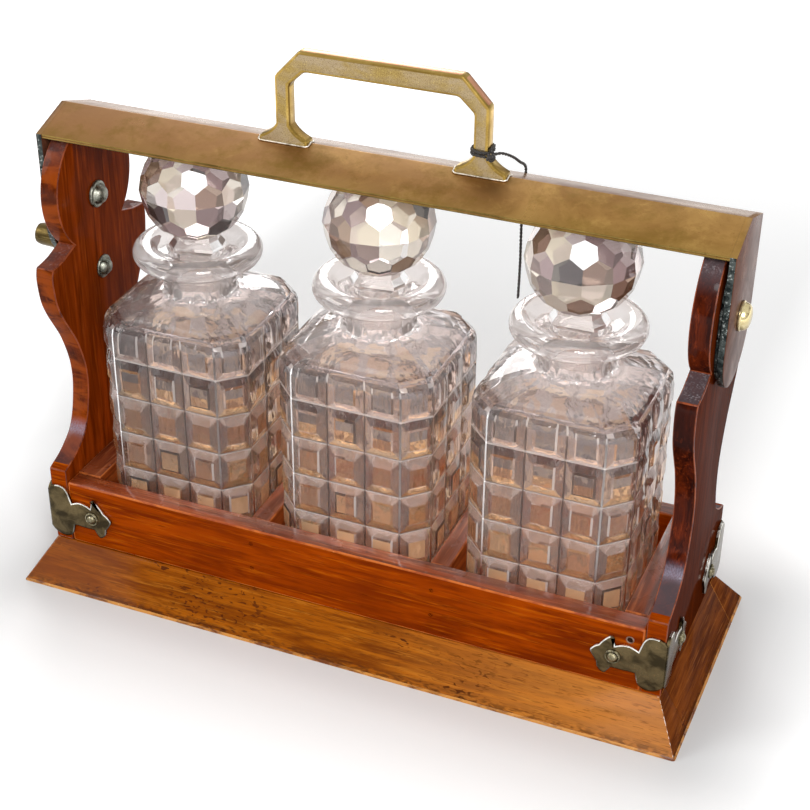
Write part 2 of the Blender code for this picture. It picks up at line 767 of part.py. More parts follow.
def make_handle():
    foot_under = EAVES_HEIGHT
    outer, inner = handle_half(foot_under)
    outline = outer + [(-across, up) for across, up in reversed(outer)]
    outline += [(-across, up) for across, up in reversed(inner)] + inner
    handle = plate("carry_handle", outline, HANDLE_DEPTH, "front", (0, 0, 0), BRASS)
    round_edges(handle, HANDLE_EDGE, angle=math.radians(70))
    reach = BAR_HALF_WIDTH
    seat = [
        (reach, EAVES_HEIGHT - BAR_HALF_WIDTH),
        (reach, roof_height(reach) + FIT_GAP),
        (0, RIDGE_HEIGHT + FIT_GAP),
        (-reach, roof_height(reach) + FIT_GAP),
        (-reach, EAVES_HEIGHT - BAR_HALF_WIDTH),
    ]
    place = PLANES["side"]
    mesh = outline_mesh("handle_seat", seat, BAR_LENGTH)
    cut(handle, add_cutter("handle_seat", mesh, place))
    return handle


# Pivots
def dome_profile(shank, shank_end, head, flange, dome, dome_height):
    """A shank up local Z, and a stepped domed head below zero."""
    profile = [(0, shank_end), (shank, shank_end), (shank, -FIT_GAP), (head, -FIT_GAP)]
    profile.append((head, -FIT_GAP - flange * 0.6))
    foot = -FIT_GAP - flange
    profile.append((head - flange * 0.4, foot))
    profile.append((dome, foot))
    for angle in (30, 60):
        turn = math.radians(angle)
        profile.append((dome * math.cos(turn), foot - dome_height * math.sin(turn)))
    profile.append((0, foot - dome_height))
    return profile


def make_pivots():
    plate_middle = GALLERY_END + FIT_GAP + PIVOT_PLATE_THICKNESS / 2
    knob_foot = BAR_END + FIT_GAP
    for name, side in (("left", -1), ("right", 1)):
        outward = (side, 0, 0)
        shank_end = knob_foot + KNOB_BORE_DEPTH - FIT_GAP - UPRIGHT_INNER
        profile = dome_profile(
            PIVOT_SHANK_RADIUS,
            shank_end,
            PIVOT_HEAD_RADIUS,
            PIVOT_HEAD_FLANGE,
            PIVOT_DOME_RADIUS,
            PIVOT_DOME_HEIGHT,
        )
        place = axis_frame((side * UPRIGHT_INNER, 0, PIVOT_HEIGHT), outward)
        turned("pivot_bolt_" + name, profile, place, STEEL)
        bore = PIVOT_SHANK_RADIUS + FIT_GAP
        profile = [
            (0, KNOB_HEIGHT),
            (KNOB_TOP_RADIUS, KNOB_HEIGHT),
            (KNOB_BASE_RADIUS, 0),
            (bore, 0),
            (bore, KNOB_BORE_DEPTH),
            (0, KNOB_BORE_DEPTH),
        ]
        place = axis_frame((side * knob_foot, 0, PIVOT_HEIGHT), outward)
        turned("pivot_knob_" + name, profile, place, STEEL)
    radius = PIVOT_PLATE_RADIUS
    low = (0, PIVOT_HEIGHT - PIVOT_PLATE_DROP)
    high = (0, PIVOT_HEIGHT + PIVOT_PLATE_RISE)
    outline = arc(low, radius, -math.pi, 0, ARM_POINTS) + arc(high, radius, 0, math.pi, ARM_POINTS)
    middle = (plate_middle, 0, 0)
    right = plate("pivot_plate_right", outline, PIVOT_PLATE_THICKNESS, "side", middle, STEEL)
    half = PIVOT_PLATE_THICKNESS / 2
    washer_place = axis_frame((-plate_middle, 0, PIVOT_HEIGHT), (-1, 0, 0))
    profile = [
        (PIVOT_WASHER_RADIUS, half),
        (PIVOT_WASHER_RADIUS, -half),
        (bore, -half),
        (bore, half),
    ]
    turned("pivot_washer_left", profile, washer_place, STEEL, ring=True)
    start = (GALLERY_END, 0, PIVOT_HEIGHT)
    cut(right, hole_cutter("plate_hole", start, (1, 0, 0), bore, BAR_LENGTH))


# Lock and keeper
def make_lock():
    outward = (-1, 0, 0)
    foot = LOCK_PLACE + Vector(outward) * FIT_GAP
    bore = LOCK_CORE_RADIUS + FIT_GAP
    profile = [
        (LOCK_END_RADIUS, LOCK_HEIGHT),
        (LOCK_BASE_RADIUS, 0),
        (bore, 0),
        (bore, LOCK_HEIGHT),
    ]
    barrel = turned("lock_barrel", profile, axis_frame(foot, outward), BRASS, ring=True)
    tongue_outer = GALLERY_END + FIT_GAP + TONGUE_THICKNESS
    core_start = Vector((-GALLERY_END - FIT_GAP, LOCK_PLACE.y, LOCK_PLACE.z))
    core_end = BAR_END + FIT_GAP + LOCK_HEIGHT - LOCK_CORE_RECESS
    length = core_end - GALLERY_END - FIT_GAP
    core = add_solid(
        "lock_core",
        rod_mesh("lock_core", LOCK_CORE_RADIUS, length, ROUND_SIDES),
        BRASS,
        axis_frame(core_start, outward),
    )
    half_length = KEY_SLOT_LENGTH / 2
    half_width = KEY_SLOT_WIDTH / 2
    slot_low = (
        -core_end - CUT_OVERRUN,
        LOCK_PLACE.y - half_width,
        LOCK_PLACE.z - half_length,
    )
    slot_high = (
        -core_end + KEY_SLOT_DEPTH,
        LOCK_PLACE.y + half_width,
        LOCK_PLACE.z + half_length,
    )
    cut(core, add_cutter("key_slot", box_mesh("key_slot", slot_low, slot_high)))
    tongue = make_tongue(tongue_outer - TONGUE_THICKNESS / 2)
    return barrel, core, tongue


def make_tongue(middle):
    """A flat hook, drawn hooked on the keeper bolt and then turned open."""
    to_keeper = Vector((-LOCK_PLACE.y, KEEPER_HEIGHT - LOCK_PLACE.z))
    reach = to_keeper.length
    half = TONGUE_HALF_WIDTH
    end = TONGUE_END_RADIUS
    outline = arc((0, 0), half, math.pi / 2, 3 * math.pi / 2, 9)
    outline += arc((reach, 0), end, -2 * math.pi / 3, 2 * math.pi / 3, 11)
    hooked = math.atan2(to_keeper.y, to_keeper.x)
    turn = Matrix.Rotation(hooked - TONGUE_OPEN_ANGLE, 4, "X")
    place = Matrix.Translation((-middle, LOCK_PLACE.y, LOCK_PLACE.z)) @ turn @ PLANES["side"]
    mesh = outline_mesh("lock_tongue", outline, TONGUE_THICKNESS)
    tongue = add_solid("lock_tongue", mesh, BRASS, place)
    start = (-GALLERY_END, LOCK_PLACE.y, LOCK_PLACE.z)
    radius = LOCK_CORE_RADIUS + FIT_GAP
    cut(tongue, hole_cutter("tongue_hole", start, (-1, 0, 0), radius, TONGUE_THICKNESS * 3))
    notch = KEEPER_SHANK_RADIUS + KEEPER_CLEARANCE
    slot = arc((reach, 0), notch, -math.pi, 0, 9)
    slot += [(reach + notch, end + CUT_OVERRUN), (reach - notch, end + CUT_OVERRUN)]
    mesh = outline_mesh("keeper_notch", slot, TONGUE_THICKNESS * 3)
    cut(tongue, add_cutter("keeper_notch", mesh, place))
    return tongue


def make_keeper():
    shank_end = UPRIGHT_THICKNESS + KEEPER_PROUD
    profile = dome_profile(
        KEEPER_SHANK_RADIUS,
        shank_end,
        KEEPER_HEAD_RADIUS,
        KEEPER_FLANGE,
        KEEPER_DOME_RADIUS,
        KEEPER_DOME_HEIGHT,
    )
    place = axis_frame((-UPRIGHT_INNER, 0, KEEPER_HEIGHT), (-1, 0, 0))
    turned("keeper_bolt", profile, place, STEEL)


# Decanters and stoppers
def section(height, half, roundness, corner=DECANTER_CORNER):
    """Points round one level: a square with cut corners, blended towards a circle."""
    points = []
    straight = half - corner
    count = 4 * (SIDE_STEPS + CORNER_STEPS)
    for quarter in range(4):
        turn = Matrix.Rotation(quarter * math.pi / 2, 2)
        side = [Vector((half, straight * (2 * i / SIDE_STEPS - 1))) for i in range(SIDE_STEPS)]
        for i in range(CORNER_STEPS):
            share = i / CORNER_STEPS
            side.append(Vector((half - corner * share, straight + corner * share)))
        for index, point in enumerate(side):
            place = quarter * (SIDE_STEPS + CORNER_STEPS) + index - SIDE_STEPS / 2
            angle = 2 * math.pi * place / count
            circle = Vector((half * math.cos(angle), half * math.sin(angle)))
            mixed = (turn @ point).lerp(circle, roundness)
            points.append((mixed.x, mixed.y, height))
    return points


def decanter_sections():
    foot = DECANTER_FOOT
    half = DECANTER_HALF_WIDTH
    neck = DECANTER_NECK_RADIUS
    wall_top = foot + DECANTER_WALL_TOP
    neck_foot = foot + DECANTER_NECK_FOOT
    neck_top = foot + DECANTER_NECK_TOP
    lip = foot + DECANTER_LIP_HEIGHT
    thick = DECANTER_LIP_HALF_THICKNESS
    levels = [
        section(foot, half - DECANTER_FOOT_BEVEL, 0),
        section(foot + DECANTER_FOOT_BEVEL, half, 0),
        section(wall_top, half, 0),
    ]
    for half_share, rise_share, roundness in SHOULDER_SHARES:
        height = wall_top + (neck_foot - wall_top) * rise_share
        levels.append(section(height, half * half_share, roundness, DECANTER_CORNER * half_share))
    levels.append(section(neck_foot, neck, 1))
    levels.append(section(neck_top, neck, 1))
    for angle in (-60, -25, 15, 50, 85):
        turn = math.radians(angle)
        radius = DECANTER_LIP_RADIUS - thick + thick * math.cos(turn)
        levels.append(section(lip + thick * math.sin(turn), radius, 1))
    levels.append(section(lip + thick - DECANTER_WELL_DEPTH, DECANTER_WELL_RADIUS, 1))
    well = lip + thick - DECANTER_WELL_DEPTH
    levels.append(section(well, NECK_BORE_TOP_RADIUS, 1))
    inner_foot = neck_foot - GLASS_WALL / 2
    levels.append(section(inner_foot, NECK_BORE_FOOT_RADIUS, 1))
    room = half - GLASS_WALL
    inner_wall_top = wall_top - GLASS_WALL / 2
    for half_share, rise_share, roundness in reversed(SHOULDER_SHARES[:4]):
        height = inner_wall_top + (inner_foot - inner_wall_top) * rise_share
        corner = (DECANTER_CORNER - GLASS_WALL / 2) * half_share
        inner_half = room * half_share * half_share
        levels.append(section(height, inner_half, roundness, corner))
    corner = DECANTER_CORNER - GLASS_WALL / 2
    levels.append(section(inner_wall_top, room, 0, corner))
    floor = foot + GLASS_FLOOR
    levels.append(section(floor + GLASS_WALL / 2, room, 0, corner))
    levels.append(section(floor, room - GLASS_WALL / 2, 0, corner))
    return levels


def decanter_mesh(name):
    """A vessel lofted up its outside, over the lip and down its inside."""

    def build(work):
        rings = []
        for level in decanter_sections():
            rings.append([work.verts.new(point) for point in level])
        for below, above in zip(rings, rings[1:]):
            count = len(below)
            for i in range(count):
                j = (i + 1) % count
                work.faces.new((below[i], below[j], above[j], above[i]))
        work.faces.new(rings[0])
        work.faces.new(rings[-1])

    mesh = mesh_from(name, build)
    mesh.set_sharp_from_angle(angle=ROUND_ANGLE)
    return mesh


def stopper_profile():
    """The ball from its top down to its neck, then the flange and the ground peg."""
    seat = DECANTER_FOOT + DECANTER_LIP_HEIGHT + DECANTER_LIP_HALF_THICKNESS
    seat -= DECANTER_WELL_DEPTH
    centre = seat + STOPPER_RISE - DECANTER_LIP_HALF_THICKNESS + DECANTER_WELL_DEPTH
    neck_angle = math.acos(STOPPER_NECK_RADIUS / STOPPER_RADIUS)
    profile = [(0, centre + STOPPER_RADIUS)]
    for index in range(1, BALL_POINTS):
        angle = math.pi / 2 - (math.pi / 2 + neck_angle) * index / (BALL_POINTS - 1)
        radius = STOPPER_RADIUS * math.cos(angle)
        profile.append((radius, centre + STOPPER_RADIUS * math.sin(angle)))
    profile.append((STOPPER_FLANGE_RADIUS, seat + FIT_GAP))
    top = NECK_BORE_TOP_RADIUS - 2 * FIT_GAP
    slope = (NECK_BORE_TOP_RADIUS - NECK_BORE_FOOT_RADIUS) / (
        seat - (DECANTER_FOOT + DECANTER_NECK_FOOT - GLASS_WALL / 2)
    )
    profile.append((top, seat + FIT_GAP))
    profile.append((top - slope * PEG_GROUND_LENGTH, seat - PEG_GROUND_LENGTH))
    profile.append((0, seat - PEG_GROUND_LENGTH))
    return profile


def make_decanters():
    for name, middle in (("left", -1), ("middle", 0), ("right", 1)):
        place = (middle * OUTER_COMPARTMENT + DECANTER_DRIFTS[name], 0, 0)
        slide = joint_empty(f"decanter_{name}_slide", place)
        mesh = decanter_mesh("decanter_" + name)
        decanter = add_solid("decanter_" + name, mesh, GLASS, Matrix.Translation(place))
        stopper = turned(
            "stopper_" + name,
            stopper_profile(),
            Matrix.Translation(place),
            GLASS,
            sides=STOPPER_TURN_SIDES,
        )
        hang_on([decanter, stopper], slide)


# Thread
def thread_turns(base):
    """The turns round the right leg, climbing clockwise from its front face."""
    half_x = HANDLE_LEG_WIDTH / 2 + THREAD_LEG_GAP + THREAD_DIAMETER / 2
    half_y = HANDLE_DEPTH / 2 + THREAD_LEG_GAP + THREAD_DIAMETER / 2
    pitch = THREAD_DIAMETER + THREAD_TURN_GAP
    power = 2 / THREAD_CORNER_POWER
    count = round(THREAD_TURN_POINTS * THREAD_SWEEP / (2 * math.pi))
    points = []
    for index in range(count + 1):
        swept = THREAD_SWEEP * index / count
        cos = math.cos(THREAD_START_ANGLE - swept)
        sin = math.sin(THREAD_START_ANGLE - swept)
        x = LEG_PLACE + half_x * math.copysign(abs(cos) ** power, cos)
        y = half_y * math.copysign(abs(sin) ** power, sin)
        points.append(Vector((x, y, base + pitch * swept / (2 * math.pi))))
    return points


def smooth_route(points, step):
    """Points about step apart on a smooth curve through the given ones."""
    route = []
    padded = [points[0] * 2 - points[1]] + points + [points[-1] * 2 - points[-2]]
    for a, b, c, d in zip(padded, padded[1:], padded[2:], padded[3:]):
        count = max(1, round((c - b).length / step))
        for index in range(count):
            t = index / count
            near = b * 2 + (c - a) * t
            bend = (a * 2 - b * 5 + c * 4 - d) * t**2 + (b * 3 - a - c * 3 + d) * t**3
            route.append((near + bend) / 2)
    route.append(points[-1])
    return route


def least_gap(points, diameter):
    """The least distance between two stretches of the tube that aren't neighbours."""
    along = [0.0]
    for one, two in zip(points, points[1:]):
        along.append(along[-1] + (two - one).length)
    least = math.inf
    for i, one in enumerate(points):
        for j in range(i + 1, len(points)):
            if along[j] - along[i] > 4 * diameter:
                least = min(least, (points[j] - one).length)
    return least - diameter


def make_thread():
    base = RIDGE_HEIGHT + FOOT_FLARE_RISE + THREAD_RISE_OVER_FLARE
    turns = thread_turns(base)
    tail = [Vector(point) for point in THREAD_ROUTE]
    middle = Vector((LEG_PLACE + KNOT_OUT, -KNOT_OUT, base + KNOT_RISE))
    out = Vector((-1, 0, 0)) * (KNOT_RADIUS + FIT_GAP)
    lead = [middle + out, (middle + out).lerp(turns[0], 0.5)]
    route = lead + turns + smooth_route(turns[-1:] + tail, THREAD_STEP)[1:]
    drawing = bpy.data.curves.new("key_thread", "CURVE")
    drawing.dimensions = "3D"
    drawing.bevel_depth = THREAD_DIAMETER / 2
    drawing.bevel_resolution = THREAD_RESOLUTION
    drawing.use_fill_caps = True
    spline = drawing.splines.new("POLY")
    spline.points.add(len(route) - 1)
    for point, place in zip(spline.points, route):
        point.co = (*place, 1)
    thread = add_solid("key_thread", drawing, THREAD)
    print(f"key_thread: {len(route)} points, least gap {least_gap(route, THREAD_DIAMETER):.5f}")

    def build(work):
        bmesh.ops.create_uvsphere(
            work,
            u_segments=SMALL_SIDES,
            v_segments=6,
            radius=KNOT_RADIUS,
            matrix=Matrix.Translation(middle),
        )

    knot = add_solid("thread_knot", mesh_from("thread_knot", build), THREAD)
    return thread, knot


def make_stand():
    make_plinth()
    make_gallery()
    make_uprights()
    make_brackets()
    make_pivots()
    make_keeper()
    make_decanters()
    pivot = joint_empty("bar_swing_axis", (0, 0, PIVOT_HEIGHT))
    barrel, core, tongue = make_lock()
    swinging = [make_bar(), make_handle(), barrel]
    swinging += make_arms()
    swinging += make_thread()
    hang_on(swinging, pivot)
    lock_axis = joint_empty("lock_turn_axis", LOCK_PLACE)
    hang_on([core, tongue], lock_axis)
    hang_on([lock_axis], pivot)


make_stand()
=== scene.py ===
import math

import bmesh
import bpy
from mathutils import Matrix, Vector


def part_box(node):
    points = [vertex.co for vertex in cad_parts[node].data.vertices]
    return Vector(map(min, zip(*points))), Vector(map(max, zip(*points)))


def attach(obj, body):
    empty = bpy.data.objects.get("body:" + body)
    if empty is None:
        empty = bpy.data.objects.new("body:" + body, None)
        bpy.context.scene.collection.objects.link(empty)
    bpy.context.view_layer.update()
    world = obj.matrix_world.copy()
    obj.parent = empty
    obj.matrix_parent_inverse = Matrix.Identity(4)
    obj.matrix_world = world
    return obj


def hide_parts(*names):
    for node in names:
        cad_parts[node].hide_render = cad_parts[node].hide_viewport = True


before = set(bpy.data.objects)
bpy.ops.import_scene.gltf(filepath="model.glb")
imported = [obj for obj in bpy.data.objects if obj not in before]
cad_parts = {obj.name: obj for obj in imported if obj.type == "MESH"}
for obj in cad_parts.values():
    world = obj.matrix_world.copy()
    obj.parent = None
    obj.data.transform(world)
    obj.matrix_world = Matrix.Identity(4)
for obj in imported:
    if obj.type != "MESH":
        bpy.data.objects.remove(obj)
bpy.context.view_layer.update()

# Measures that several pieces share, in metres
LEFT_TO_RIGHT = ("left", "middle", "right")
SIDES = (("left", -1), ("right", 1))
ROWS = (("front", -1), ("back", 1))
GALLERY_END = 0.17105
GALLERY_SIDE = 0.0548
UPRIGHT_INNER = 0.1609
ARM_INNER = 0.1731
ARM_OUTER = 0.17625
PIVOT = 0.2075
RIDGE = 0.25566
EAVES = 0.24745
BAR_HALF = 0.0252
SLOPE = (RIDGE - EAVES) / BAR_HALF
LEG_PLACE = 0.0502
FLARE_TOP = RIDGE + 0.0085
HANDLE_TOP = 0.3016
GAP = 0.0003


# Camera, solved on the straight edges of the stand
def set_camera():
    azimuth, elevation, roll = (math.radians(a) for a in (23.1119, 32.557, 0.1232))
    target = Vector((-0.0005482, 0, 0.0922151))
    distance = 0.8915475
    focal, centre_x, centre_y, image = 1705.0534, 380.4873, 447.07, 810
    level = math.cos(elevation)
    back = Vector((math.sin(azimuth) * level, -math.cos(azimuth) * level, math.sin(elevation)))
    right = (-back).cross(Vector((0, 0, 1))).normalized()
    up = right.cross(-back)
    across = right * math.cos(roll) + up * math.sin(roll)
    upward = up * math.cos(roll) - right * math.sin(roll)
    lens = bpy.data.cameras.new("photo_camera")
    lens.sensor_width = 36
    lens.lens = focal / image * lens.sensor_width
    lens.shift_x = (image / 2 - centre_x) / image
    lens.shift_y = (centre_y - image / 2) / image
    lens.clip_start = 0.01
    camera = bpy.data.objects.new("photo_camera", lens)
    bpy.context.scene.collection.objects.link(camera)
    stance = Matrix((across, upward, back)).transposed().to_4x4()
    stance.translation = target + back * distance
    camera.matrix_world = stance
    bpy.context.scene.camera = camera


set_camera()


# Handling of pieces
def take(piece):
    bpy.ops.object.select_all(action="DESELECT")
    piece.select_set(True)
    bpy.context.view_layer.objects.active = piece


def named(name):
    piece = bpy.context.object
    piece.name = name
    piece.data.name = name
    return piece


def open_mesh(piece, select="SELECT"):
    take(piece)
    bpy.ops.object.mode_set(mode="EDIT")
    bpy.ops.mesh.select_all(action=select)
    return bmesh.from_edit_mesh(piece.data)


def close_mesh(piece):
    bpy.ops.object.mode_set(mode="OBJECT")
    return piece


def pick(piece, work, kind, wanted):
    """Selects the wanted faces or edges of a mesh that is open with nothing selected."""
    for item in getattr(work, kind):
        if wanted(item):
            item.select_set(True)
    bmesh.update_edit_mesh(piece.data)


def face_out(piece):
    """Doubles merged and all faces turned outwards."""
    open_mesh(piece)
    bpy.ops.mesh.remove_doubles(threshold=0.000002)
    bpy.ops.mesh.normals_make_consistent(inside=False)
    return close_mesh(piece)


def settle(piece):
    take(piece)
    bpy.ops.object.transform_apply(location=True, rotation=True, scale=True)
    return piece


def smooth(piece, angle=35):
    take(piece)
    bpy.ops.object.shade_smooth_by_angle(angle=math.radians(angle))
    return piece


def dress(piece, *looks):
    piece.data.materials.clear()
    for look in looks:
        piece.data.materials.append(look)
    return piece


def paint(piece, look, wanted):
    """The wanted faces take one of the looks that the piece is dressed in."""
    number = piece.data.materials.find(look.name)
    for face in piece.data.polygons:
        if wanted(face):
            face.material_index = number


def soften(piece, width, segments=2, angle=30, edge_look=False):
    """A rounded or worn arris on every edge sharper than the angle, in the second look if asked."""
    take(piece)
    arris = piece.modifiers.new("arris", "BEVEL")
    arris.width = width
    arris.segments = segments
    arris.limit_method = "ANGLE"
    arris.angle_limit = math.radians(angle)
    arris.use_clamp_overlap = True
    if edge_look:
        arris.material = 1
    bpy.ops.object.modifier_apply(modifier=arris.name)
    return piece


def ease_edges(piece, width, wanted):
    """A small round on the sharp edges that are wanted, and none on the others."""
    def sharp(edge):
        one, two = (vert.co for vert in edge.verts)
        folded = len(edge.link_faces) == 2 and edge.calc_face_angle() > 0.2
        return folded and wanted(one, two)

    pick(piece, open_mesh(piece, "DESELECT"), "edges", sharp)
    bpy.ops.mesh.bevel(offset=width, segments=2)
    close_mesh(piece)
    return piece


def hand_over(piece, body, slot, *nodes):
    """The piece rides its body and stands for its CAD nodes."""
    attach(piece, body)
    if nodes:
        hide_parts(*nodes)
    return piece


def twin(piece, name):
    """A copy of a piece with a mesh of its own."""
    other = piece.copy()
    other.data = piece.data.copy()
    other.name = name
    other.data.name = name
    bpy.context.scene.collection.objects.link(other)
    return other


def copy_of(node, name):
    """A merged copy of a CAD node, with its flat faces made whole again."""
    piece = twin(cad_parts[node], name)
    for key in list(piece.keys()):
        del piece[key]
    piece.parent = None
    open_mesh(piece)
    bpy.ops.mesh.remove_doubles(threshold=0.000005)
    bpy.ops.mesh.dissolve_limited(angle_limit=math.radians(0.4))
    return close_mesh(piece)


def combine(piece, other, operation):
    """Joins another piece to this one, or cuts it out of this one, and takes the other away."""
    take(piece)
    step = piece.modifiers.new("step", "BOOLEAN")
    step.operation = operation
    step.object = other
    bpy.ops.object.modifier_apply(modifier=step.name)
    bpy.data.objects.remove(other)


def wire(name, points, radius, fineness, closed=False):
    """A round wire along a line of points, closed or with its ends capped."""
    drawing = bpy.data.curves.new(name, "CURVE")
    drawing.dimensions = "3D"
    drawing.bevel_depth = radius
    drawing.bevel_resolution = fineness
    drawing.use_fill_caps = not closed
    spline = drawing.splines.new("POLY")
    spline.points.add(len(points) - 1)
    spline.use_cyclic_u = closed
    for knot, place in zip(spline.points, points):
        knot.co = (*place, 1)
    piece = bpy.data.objects.new(name, drawing)
    bpy.context.scene.collection.objects.link(piece)
    take(piece)
    bpy.ops.object.convert(target="MESH")
    return bpy.context.object


def arc(centre, radius, start, end, count):
    """Points on an arc, with its angles in degrees."""
    points = []
    for index in range(count):
        angle = math.radians(start + (end - start) * index / (count - 1))
        points.append((centre[0] + radius * math.cos(angle), centre[1] + radius * math.sin(angle)))
    return points


def flowing(points, cuts=4):
    """A smooth line through the points, with each stretch cut."""
    vectors = [Vector(point) for point in points]
    vectors = [vectors[0] * 2 - vectors[1]] + vectors + [vectors[-1] * 2 - vectors[-2]]
    line = []
    for a, b, c, d in zip(vectors, vectors[1:], vectors[2:], vectors[3:]):
        for index in range(cuts):
            t = index / cuts
            near = b * 2 + (c - a) * t
            bend = (a * 2 - b * 5 + c * 4 - d) * t**2 + (b * 3 - a - c * 3 + d) * t**3
            line.append((near + bend) / 2)
    line.append(vectors[-2])
    return [tuple(point) for point in line]


def mirrored(half):
    """A half outline that ends on the middle line, closed by its mirror image."""
    return half + [(-across, up) for across, up in reversed(half) if across > 0.00001]


def sawn(name, outline, thickness, plane, offset):
    """A blank sawn to an outline of (across, up) points. Its middle plane lies at the offset."""
    bpy.ops.object.select_all(action="DESELECT")
    bpy.ops.mesh.primitive_circle_add(vertices=len(outline), radius=0.01, fill_type="NGON")
    piece = named(name)
    if plane == "side":
        push = Vector((thickness, 0, 0))
    else:
        push = Vector((0, thickness, 0))
    for vert, (across, up) in zip(piece.data.vertices, outline):
        if plane == "side":
            vert.co = Vector((offset, across, up)) - push / 2
        else:
            vert.co = Vector((across, offset, up)) - push / 2
    open_mesh(piece)
    bpy.ops.mesh.extrude_region_move(TRANSFORM_OT_translate={"value": push})
    close_mesh(piece)
    return face_out(piece)


def lathe(name, profile, place, outward, sides=32):
    """A profile of (radius, height) points turned up from its closed foot along outward."""
    bpy.ops.object.select_all(action="DESELECT")
    radius, height = profile[0]
    bpy.ops.mesh.primitive_circle_add(
        vertices=sides, radius=radius, location=(0, 0, height), fill_type="NGON"
    )
    piece = named(name)
    settle(piece)
    open_mesh(piece)
    for new_radius, new_height in profile[1:]:
        bpy.ops.mesh.extrude_region_move(
            TRANSFORM_OT_translate={"value": (0, 0, new_height - height)}
        )
        share = new_radius / radius
        bpy.ops.transform.resize(value=(share, share, 1), center_override=(0, 0, new_height))
        radius, height = new_radius, new_height
    close_mesh(piece)
    turn = Vector((0, 0, 1)).rotation_difference(Vector(outward)).to_matrix().to_4x4()
    piece.data.transform(Matrix.Translation(place) @ turn)
    return face_out(piece)


def turned(name, profile, place, outward, look, *home, sides=40, angle=35):
    """A turned piece in its look. Its home is a body, a slot, which is not used, and the CAD node it stands
    for.
    """
    piece = lathe(name, profile, place, outward, sides)
    return hand_over(dress(smooth(piece, angle), look), *home)


def lofted(name, rings):
    """Rings of as many points each, every one extruded from the ring below it, with both ends closed."""
    bpy.ops.object.select_all(action="DESELECT")
    bpy.ops.mesh.primitive_circle_add(vertices=len(rings[0]), radius=0.01, fill_type="NOTHING")
    piece = named(name)
    for vert, point in zip(piece.data.vertices, rings[0]):
        vert.co = point
    open_mesh(piece)
    for below, above in zip(rings, rings[1:]):
        bpy.ops.mesh.extrude_region_move()
        work = bmesh.from_edit_mesh(piece.data)
        places = {tuple(round(c, 6) for c in low): high for low, high in zip(below, above)}
        for vert in work.verts:
            if vert.select:
                vert.co = places[tuple(round(c, 6) for c in vert.co)]
        bmesh.update_edit_mesh(piece.data)
    bpy.ops.mesh.edge_face_add()
    bpy.ops.mesh.select_all(action="DESELECT")
    work = bmesh.from_edit_mesh(piece.data)
    for edge in work.edges:
        edge.select = all(vert.index < len(rings[0]) for vert in edge.verts)
    bmesh.update_edit_mesh(piece.data)
    bpy.ops.mesh.edge_face_add()
    close_mesh(piece)
    return face_out(piece)


# Wiring of materials
def tone(red, green, blue):
    """A colour from the numbers that a screen shows."""
    parts = []
    for part in (red, green, blue):
        share = part / 255
        parts.append(share / 12.92 if share <= 0.04045 else ((share + 0.055) / 1.055) ** 2.4)
    return (*parts, 1.0)


class Wiring:
    """A node tree, wired node by node, with the coordinates that its patterns lie in."""

    def __init__(self, tree, coordinates="Object"):
        self.tree = tree
        self.place = self.add("ShaderNodeTexCoord").outputs[coordinates]

    def add(self, kind, *values, **settings):
        """A node with its settings, and with values or sockets for its first inputs."""
        node = self.tree.nodes.new(kind)
        for key, value in settings.items():
            setattr(node, key, value)
        for socket, value in zip(node.inputs, values):
            self.plug(socket, value)
        return node

    def plug(self, socket, value):
        if isinstance(value, bpy.types.NodeSocket):
            self.tree.links.new(value, socket)
        else:
            socket.default_value = value

    def scaled(self, sizes, shift=(0, 0, 0)):
        """Coordinates in which a feature of these sizes, in metres, is one unit."""
        if isinstance(sizes, float):
            sizes = (sizes, sizes, sizes)
        mapping = self.add("ShaderNodeMapping", self.place, shift)
        mapping.inputs["Scale"].default_value = [1 / size for size in sizes]
        return mapping.outputs["Vector"]

    def noise(self, sizes, detail=3, rough=0.55, bent=0.0, shift=(0, 0, 0)):
        node = self.add("ShaderNodeTexNoise")
        self.plug(node.inputs["Vector"], self.scaled(sizes, shift))
        node.inputs["Scale"].default_value = 1
        node.inputs["Detail"].default_value = detail
        node.inputs["Roughness"].default_value = rough
        node.inputs["Distortion"].default_value = bent
        return node.outputs["Fac"]

    def reach(self, value, low, high, start=0.0, end=1.0, kind="SMOOTHSTEP"):
        """The value spread from low..high to start..end, and held there."""
        spread = self.add("ShaderNodeMapRange", value, low, high, start, end, interpolation_type=kind)
        return spread.outputs["Result"]

    def sum(self, one, two, kind="MULTIPLY"):
        return self.add("ShaderNodeMath", one, two, operation=kind).outputs[0]

    def mix(self, share, one, two):
        """Two colours mixed by a share."""
        node = self.add("ShaderNodeMix", share, data_type="RGBA")
        self.plug(node.inputs[6], one)
        self.plug(node.inputs[7], two)
        return node.outputs[2]

    def axis(self, letter, vector=None):
        vector = self.place if vector is None else vector
        return self.add("ShaderNodeSeparateXYZ", vector).outputs[letter]

    def upward(self):
        """How far a face looks up, from -1 to 1."""
        return self.axis("Z", self.add("ShaderNodeNewGeometry").outputs["Normal"])

    def rays(self, *kinds):
        """1 for rays of these kinds, and 0 for others."""
        path = self.add("ShaderNodeLightPath")
        found = path.outputs[kinds[0]]
        for kind in kinds[1:]:
            found = self.sum(found, path.outputs[kind], "MAXIMUM")
        return found

    def end_in(self, output, kind, *values):
        """The last shader of the tree, made of these values."""
        self.plug(self.tree.nodes[output].inputs["Surface"], self.add(kind, *values).outputs[0])


